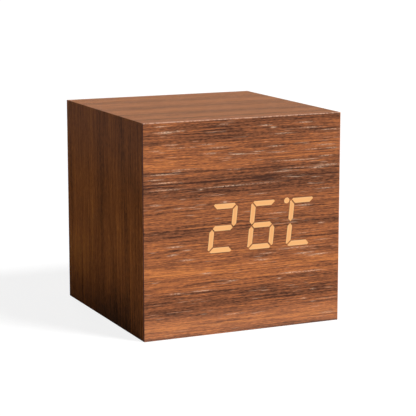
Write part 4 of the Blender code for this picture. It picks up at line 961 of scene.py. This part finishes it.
def case_wall(name, axis, finish):
    """A wall of the case, its mitres drawn tight along X or Z."""
    half = cad_box[1][0]
    middle = Vector((0, 0, half))
    shape = copy_of(name)
    low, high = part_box(name)
    stretch = Vector((1, 1, 1))
    stretch[axis] = (half - MITRE_GAP) / ((high[axis] - low[axis]) / 2)
    bmesh.ops.translate(shape, verts=shape.verts, vec=-middle)
    bmesh.ops.scale(shape, verts=shape.verts, vec=stretch)
    bmesh.ops.translate(shape, verts=shape.verts, vec=middle)
    wall = name.replace("case", "wall")
    piece(wall, ease(shape, EASE / 2), [finish], [name])


def rear_panel(finish):
    """The back: a sheet with its window, countersunk screw holes and sound holes."""
    low, high = map(Vector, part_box("back_panel"))
    bezel_low, bezel_high = map(Vector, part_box("control_bezel"))
    near, far = low.y - OVERRUN, high.y + OVERRUN
    window_low = (bezel_low.x + WINDOW_LAP, near, bezel_low.z + WINDOW_LAP)
    window_high = (bezel_high.x - WINDOW_LAP, far, bezel_high.z - WINDOW_LAP)
    cutters = [box_between(window_low, window_high)]
    for number in CORNERS:
        screw_low, screw_high = map(Vector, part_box(f"back_screw_{number}"))
        centre = (screw_low + screw_high) / 2
        head = (screw_high.x - screw_low.x) / 2 + HEAD_ROOM
        profile = [(0, OVERRUN), (head, OVERRUN), (head, 0), (SCREW_HOLE, -FLAT_HEIGHT)]
        profile += [(SCREW_HOLE, -SCREW_HOLE_DEPTH), (0, -SCREW_HOLE_DEPTH)]
        place = (centre.x, screw_high.y, centre.z)
        cutters.append(turned(profile, place, Y_AXIS, SCREW_STEPS))
    middle = (bezel_high.z + high.z - BATTEN) / 2
    turns = [FULL_TURN * number / SOUND_HOLES for number in range(SOUND_HOLES)]
    ring = [(SOUND_RING * math.cos(turn), SOUND_RING * math.sin(turn)) for turn in turns]
    for right, up in [(0, 0)] + ring:
        cutters.append(rod(SOUND_HOLE, near, far, (right, 0, middle + up), Y_AXIS, FEW_STEPS))
    shape = carved(ease(box_between(low, high), 2 * EASE), cutters)
    piece("rear_panel", shape, [finish], ["back_panel"])


# Controls in the back


def cross_cutters(reach, depth):
    """Two tapered blades for a screw's cross, one a bit deeper. The head's top is at zero."""
    blades = []
    slim = reach / CROSS_SLIMNESS
    for x, y, bottom in ((reach, slim, depth), (slim, reach, CROSS_STAGGER * depth)):
        blade = box_between((-x, -y, -bottom), (x, y, depth))
        lower = [vertex for vertex in blade.verts if vertex.co.z < 0]
        bmesh.ops.scale(blade, verts=lower, vec=(CROSS_TAPER, CROSS_TAPER, 1))
        blades.append(blade)
    return blades


def screw(node, axis, head_profile, finish):
    """A screw whose head, drawn from the shank outwards, points along the axis."""
    low, high = map(Vector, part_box(node))
    along = Vector(axis)
    length = (high - low).dot(along)
    profile = [(0, -length), (SHANK, SCREW_TIP - length)] + head_profile + [(0, 0)]
    shape = turned(profile, (0, 0, 0), Z_AXIS, SCREW_STEPS)
    shape = carved(shape, cross_cutters(CROSS_REACH, CROSS_DEPTH))
    middle = (low + high) / 2
    turn = Z_AXIS.rotation_difference(along).to_matrix().to_4x4()
    place = Matrix.Translation(middle + along * length / 2) @ turn
    bmesh.ops.transform(shape, matrix=place, verts=shape.verts)
    piece(f"{node}_fine", shape, [finish], [node])


def screws(finish):
    """Countersunk screws in the back, pan heads at the display and the battery tray."""
    flat_rim = rounded(SOFT_RIM, 0, 1, (FLAT_HEAD - SOFT_RIM, -SOFT_RIM))
    flat = [(SHANK, -FLAT_HEIGHT)] + flat_rim
    pan_crown = rounded(PAN_CROWN, 0, 1, (PAN_HEAD - PAN_CROWN, -PAN_CROWN))
    pan = [(SHANK, -PAN_HEIGHT), (PAN_HEAD, -PAN_HEIGHT)] + pan_crown
    for number in CORNERS:
        screw(f"back_screw_{number}", Y_AXIS, flat, finish)
        screw(f"display_screw_{number}", Y_AXIS, pan, finish)
    for number in (1, 2):
        screw(f"tray_screw_{number}", Z_AXIS, pan, finish)


def button_cap(name, finish):
    """A round cap with a soft edge and a shallow dish for the fingertip."""
    low, high = map(Vector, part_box(f"{name}_button"))
    middle = (low + high) / 2
    flange = (high.x - low.x) / 2
    step = low.y + CAP_FLANGE
    reach = CAP - CAP_RIM
    profile = [(0, low.y), (flange, low.y), (flange, step), (CAP, step)]
    profile += rounded(CAP_RIM, 0, 1, (reach, high.y - CAP_RIM))
    for share in DISH_SHARES:
        profile.append((reach * share, high.y - CAP_DISH * math.cos(share * FULL_TURN / 4)))
    shape = turned(profile, (middle.x, 0, middle.z), Y_AXIS)
    piece(f"{name}_cap", shape, [finish], [f"{name}_button"], f"{name}_key")


def flared_hole(radius, x, z, face):
    """A cutter for a round hole with a chamfered rim."""
    inner = face - HOLE_DEPTH
    profile = [(0, inner), (radius, inner), (radius, face - FLARE)]
    profile += [(radius + 2 * FLARE, face + FLARE), (0, face + FLARE)]
    return turned(profile, (x, 0, z), Y_AXIS)


def bezel(finish):
    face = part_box("control_bezel")[1][1]
    cutters = []
    for name in BUTTONS:
        low, high = map(Vector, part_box(f"{name}_button"))
        middle = (low + high) / 2
        cutters.append(flared_hole(BUTTON_HOLE, middle.x, middle.z, face))
    cutters.append(flared_hole(SOCKET_HOLE, 0, socket_height(), face))
    shape = carved(copy_of("control_bezel"), cutters)
    piece("bezel", shape, [finish], ["control_bezel"])


def socket_height():
    low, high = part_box("dc_socket")
    return (low[2] + high[2]) / 2


def power_socket(body_finish, pin_finish):
    """A square base, its barrel and the barrel's centre pin."""
    low, high = map(Vector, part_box("dc_socket"))
    top = high.y - COLLAR_HEIGHT
    bottom = low.y + SOCKET_FLOOR
    sunk = bottom - WELL_SINK
    seat = top + SEAT_GAP
    centre = (0, 0, socket_height())
    base = ease(box_between(low, (high.x, top, high.z)), SOCKET_EASE)
    base = carved(base, [rod(WELL, sunk, top + OVERRUN, centre, Y_AXIS)])
    piece("socket_base", base, [body_finish], ["dc_socket"])
    rim = high.y - SOFT_RIM
    profile = [(0, sunk), (NECK, sunk), (NECK, seat), (COLLAR, seat)]
    profile += rounded(SOFT_RIM, 0, 1, (COLLAR - SOFT_RIM, rim))
    profile += rounded(SOFT_RIM, 1, 2, (SOCKET_BORE + SOFT_RIM, rim))
    profile += [(SOCKET_BORE, bottom), (0, bottom)]
    barrel = turned(profile, centre, Y_AXIS)
    piece("socket_barrel", barrel, [body_finish], ["dc_socket"])
    foot = bottom + PIN_GAP
    tip = rounded(PIN, 0, 1, (0, high.y - PIN_SINK - PIN), 6)
    pin = turned([(0, foot), (PIN, foot)] + tip, centre, Y_AXIS, FEW_STEPS)
    piece("socket_pin", pin, [pin_finish], ["dc_socket"])


def marking(name, shape, x, z, finish):
    """A thin printed mark on the bezel, drawn in X and Y and read from behind."""
    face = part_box("control_bezel")[1][1]
    turn = Matrix.Rotation(math.pi, 4, "Z") @ Matrix.Rotation(FULL_TURN / 4, 4, "X")
    place = Matrix.Translation((x, face + INK, z)) @ turn
    bmesh.ops.transform(shape, matrix=place, verts=shape.verts)
    piece(name, shape, [finish])


def words(text):
    """Flat letters as a thin solid, centred on the origin."""
    data = bpy.data.curves.new("words", "FONT")
    data.body = text
    data.size = WORD_SIZE
    data.extrude = INK
    data.align_x = data.align_y = "CENTER"
    thing = new_object("words", data)
    mesh = final_mesh(thing)
    bpy.data.objects.remove(thing, do_unlink=True)
    return whole_faces(mesh)


def arrow(points_up):
    """A thin triangle in X and Y."""
    shape = bmesh.new()
    turn = Matrix.Rotation(0 if points_up else math.pi, 4, "Z")
    bmesh.ops.create_circle(shape, cap_ends=True, segments=3, radius=ARROW, matrix=turn)
    pushed = bmesh.ops.extrude_face_region(shape, geom=shape.faces[:])["geom"]
    moved = [part for part in pushed if isinstance(part, bmesh.types.BMVert)]
    bmesh.ops.translate(shape, verts=moved, vec=(0, 0, 2 * INK))
    bmesh.ops.recalc_face_normals(shape, faces=shape.faces)
    return shape


def markings(finish):
    """SET and the two arrows, over their buttons."""
    shapes = {"set": words("SET"), "up": arrow(True), "down": arrow(False)}
    for name, shape in shapes.items():
        low, high = map(Vector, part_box(f"{name}_button"))
        marking(f"{name}_marking", shape, (low.x + high.x) / 2, high.z + MARKING_ABOVE, finish)


# Battery compartment


def tray_and_door(finish):
    for node, body in (("battery_tray", "case"), ("battery_door", "door")):
        shape = ease(copy_of(node), PLASTIC_EASE, segments=1)
        piece(node.replace("battery", "cell"), shape, [finish], [node], body)


def cell(number, jacket, can):
    """A battery cell: a printed sleeve shrunk over the rims of a steel can."""
    low, high = map(Vector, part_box(f"battery_{number}"))
    side = -1 if number == 2 else 1
    length = high.x - low.x
    radius = (high.z - low.z) / 2
    body = length - NUB_HEIGHT
    ring_start, ring, ring_end, lip = CELL_RING
    sleeve = radius - SLEEVE_RIM
    profile = [(0, CELL_DISH), (ring_start, CELL_DISH), (ring, 0), (ring_end, 0), (lip, CELL_LIP)]
    profile += rounded(SLEEVE_RIM, 3, 4, (sleeve, SLEEVE_RIM + CELL_LIP))
    profile += rounded(SLEEVE_RIM, 0, 1, (sleeve, body - SLEEVE_RIM))
    profile += [(SLEEVE_END, body), (CAN_EDGE, body - CELL_DISH), (CAN_SHOULDER, body - CELL_DISH)]
    profile += rounded(NUB_RIM, 0, 1, (NUB, length - NUB_RIM)) + [(0, length)]
    start = (low.x if side > 0 else high.x, (low.y + high.y) / 2, (low.z + high.z) / 2)
    shape = turned(profile, start, side * X_AXIS)
    for face in shape.faces:
        off = face.calc_center_median() - Vector(start)
        bare = math.hypot(off.y, off.z) < CAN_REACH or abs(off.x) < CAN_DEPTH
        face.material_index = 1 if bare else 0
    piece(f"cell_{number}", shape, [jacket, can], [f"battery_{number}"])


# Camera, light and floor


def camera():
    data = bpy.data.cameras.new("camera")
    data.lens = LENS
    data.sensor_width = SENSOR
    data.clip_start = NEAR_CLIP
    view = new_object("camera", data)
    level = math.cos(CAMERA_ELEVATION)
    across, away = math.sin(CAMERA_AZIMUTH) * level, -math.cos(CAMERA_AZIMUTH) * level
    back = Vector((across, away, math.sin(CAMERA_ELEVATION)))
    view.location = Vector(CAMERA_TARGET) + CAMERA_DISTANCE * back
    view.rotation_euler = back.to_track_quat("Z", "Y").to_euler()
    bpy.context.scene.camera = view


def seen_share(finish):
    """1 where a thing is seen, straight or in a reflection, and 0 where it only gives light."""
    path = finish.node("ShaderNodeLightPath").socket.node
    seen = Value(finish, path.outputs["Is Camera Ray"])
    for kind in ("Is Glossy Ray", "Is Transmission Ray"):
        seen = seen.most(Value(finish, path.outputs[kind]))
    return seen


def lamp(name, strength, place, shines=True):
    data = bpy.data.lights.new(name, "SUN")
    data.energy = strength
    data.angle = SUN_ANGLE
    made = new_object(name, data)
    made.rotation_euler = Vector(place).to_track_quat("Z", "Y").to_euler()
    made.visible_glossy = shines


def light():
    lamp("studio_light", SUN_STRENGTH, SUN_FROM)
    lamp("back_light", BACK_STRENGTH, BACK_FROM, shines=False)
    world = Finish(bpy.data.worlds.new("studio"))
    bpy.context.scene.world = world.owner
    soft, white = (
        world.node("ShaderNodeBackground", None, {"Color": (1, 1, 1, 1), "Strength": strength})
        for strength in (SKY_STRENGTH, 1)
    )
    both = world.node("ShaderNodeMixShader", None, {0: seen_share(world), 1: soft, 2: white})
    world.feed(world.tree.nodes["World Output"].inputs["Surface"], both)


def floor():
    shape = bmesh.new()
    bmesh.ops.create_grid(shape, x_segments=1, y_segments=1, size=FLOOR_SIZE / 2)
    ground = new_object("floor", mesh_from("floor", shape))
    finish = new_finish("floor")
    plain = finish.node("ShaderNodeBsdfDiffuse", None, {"Color": colour(FLOOR_COLOUR)})
    shadow = finish.node("ShaderNodeBsdfDiffuse", None, {"Color": (*(FLOOR_SHADOW_SHARE,) * 3, 1)})
    white = {"Color": (1, 1, 1, 1), "Strength": FLOOR_WHITE - FLOOR_SHADOW_SHARE}
    glow = finish.node("ShaderNodeEmission", None, white)
    pale = finish.node("ShaderNodeAddShader", None, {0: shadow, 1: glow})
    shown = finish.node("ShaderNodeMixShader", None, {0: seen_share(finish), 1: plain, 2: pale})
    finish.feed(finish.tree.nodes["Material Output"].inputs["Surface"], shown)
    ground.data.materials.append(finish.owner)


bpy.context.scene.view_settings.view_transform = "Standard"
camera()
light()
floor()

veneer_finish = wood(
    "front_walnut", "front", WOOD_TONES, 0, FRONT_BANDS, FRONT_LINES, FRONT_FLECKS,
    fleck_share=0.4, broad=0.35,
)[0].owner
back_finish = wood("back_walnut", "front", WOOD_TONES, 73, contrast=0.9, fleck_share=0.6)[0].owner
top_finish = walls_wood(
    "top_walnut", "top", TOP_TONES, 31, bands=TOP_BANDS, contrast=0.9, broad=0.35, gloss=0.02
)
side_finish = walls_wood(
    "side_walnut", "upright", SIDE_TONES, 47, bands=SIDE_BANDS, contrast=0.8, gloss=0.003
)
base_finish = walls_wood("base_walnut", "top", SIDE_TONES, 91, contrast=0.7)
front_sheet(veneer_finish)
case_wall("case_top", 0, top_finish)
case_wall("case_left", 2, side_finish)
case_wall("case_right", 2, side_finish)
case_wall("case_bottom", 0, base_finish)
rear_panel(back_finish)

black = moulded("black_plastic", BLACK)
ivory = moulded("ivory_plastic", IVORY, 0.45)
steel = metal("zinc_plated_steel", STEEL)
nickel = metal("nickel_plate", NICKEL, 0.26)
board = circuit_board()
epoxy = moulded("chip_epoxy", EPOXY, 0.6, 0.2)
mdf = fibreboard()
pine = wood("pine", "front", PINE_TONES, 5, contrast=0.5)[0].owner
milky = milky_plastic()
jacket = cell_jacket()
ink = moulded("printed_ink", MARKING, 0.7)
red = insulation("red_insulation", RED)
dark = insulation("black_insulation", DARK)
ribbon = ribbon_skin()

NODE_FINISHES = {
    mdf: ("front_board",),
    pine: ("upper_batten", "lower_left_block", "lower_right_block"),
    black: ("display_frame", "coin_cell_holder"),
    ivory: ("set_plunger", "up_plunger", "down_plunger"),
    lit_bars(2, ((-1, 1), (1, -1))): ("digit_2_light_bars",),
    lit_bars(3, ((1, 1),)): ("digit_3_light_bars",),
    lit_bars(4, ((1, 1), (1, -1), (0, 0))): ("digit_4_light_bars",),
    lit_dot(): ("degree_light_bar",),
    milky: ("digit_1_light_bars", "colon_light_bars"),
    board: ("display_board", "button_board"),
    epoxy: ("clock_chip", "buzzer", "thermistor", "set_switch", "up_switch", "down_switch"),
    nickel: (
        "coin_cell", "crystal", "microphone", "contact_bridge_left", "contact_bridge_right",
        "plus_terminal", "minus_terminal",
    ),
    red: ("battery_lead_red",),
    dark: ("battery_lead_black",),
    ribbon: ("ribbon_cable",),
}
for finish, nodes in NODE_FINISHES.items():
    for node in nodes:
        dress(node, finish)

bezel(black)
for name in BUTTONS:
    button_cap(name, black)
power_socket(black, nickel)
markings(ink)
screws(steel)
tray_and_door(black)
for number in CELLS:
    cell(number, jacket, steel)
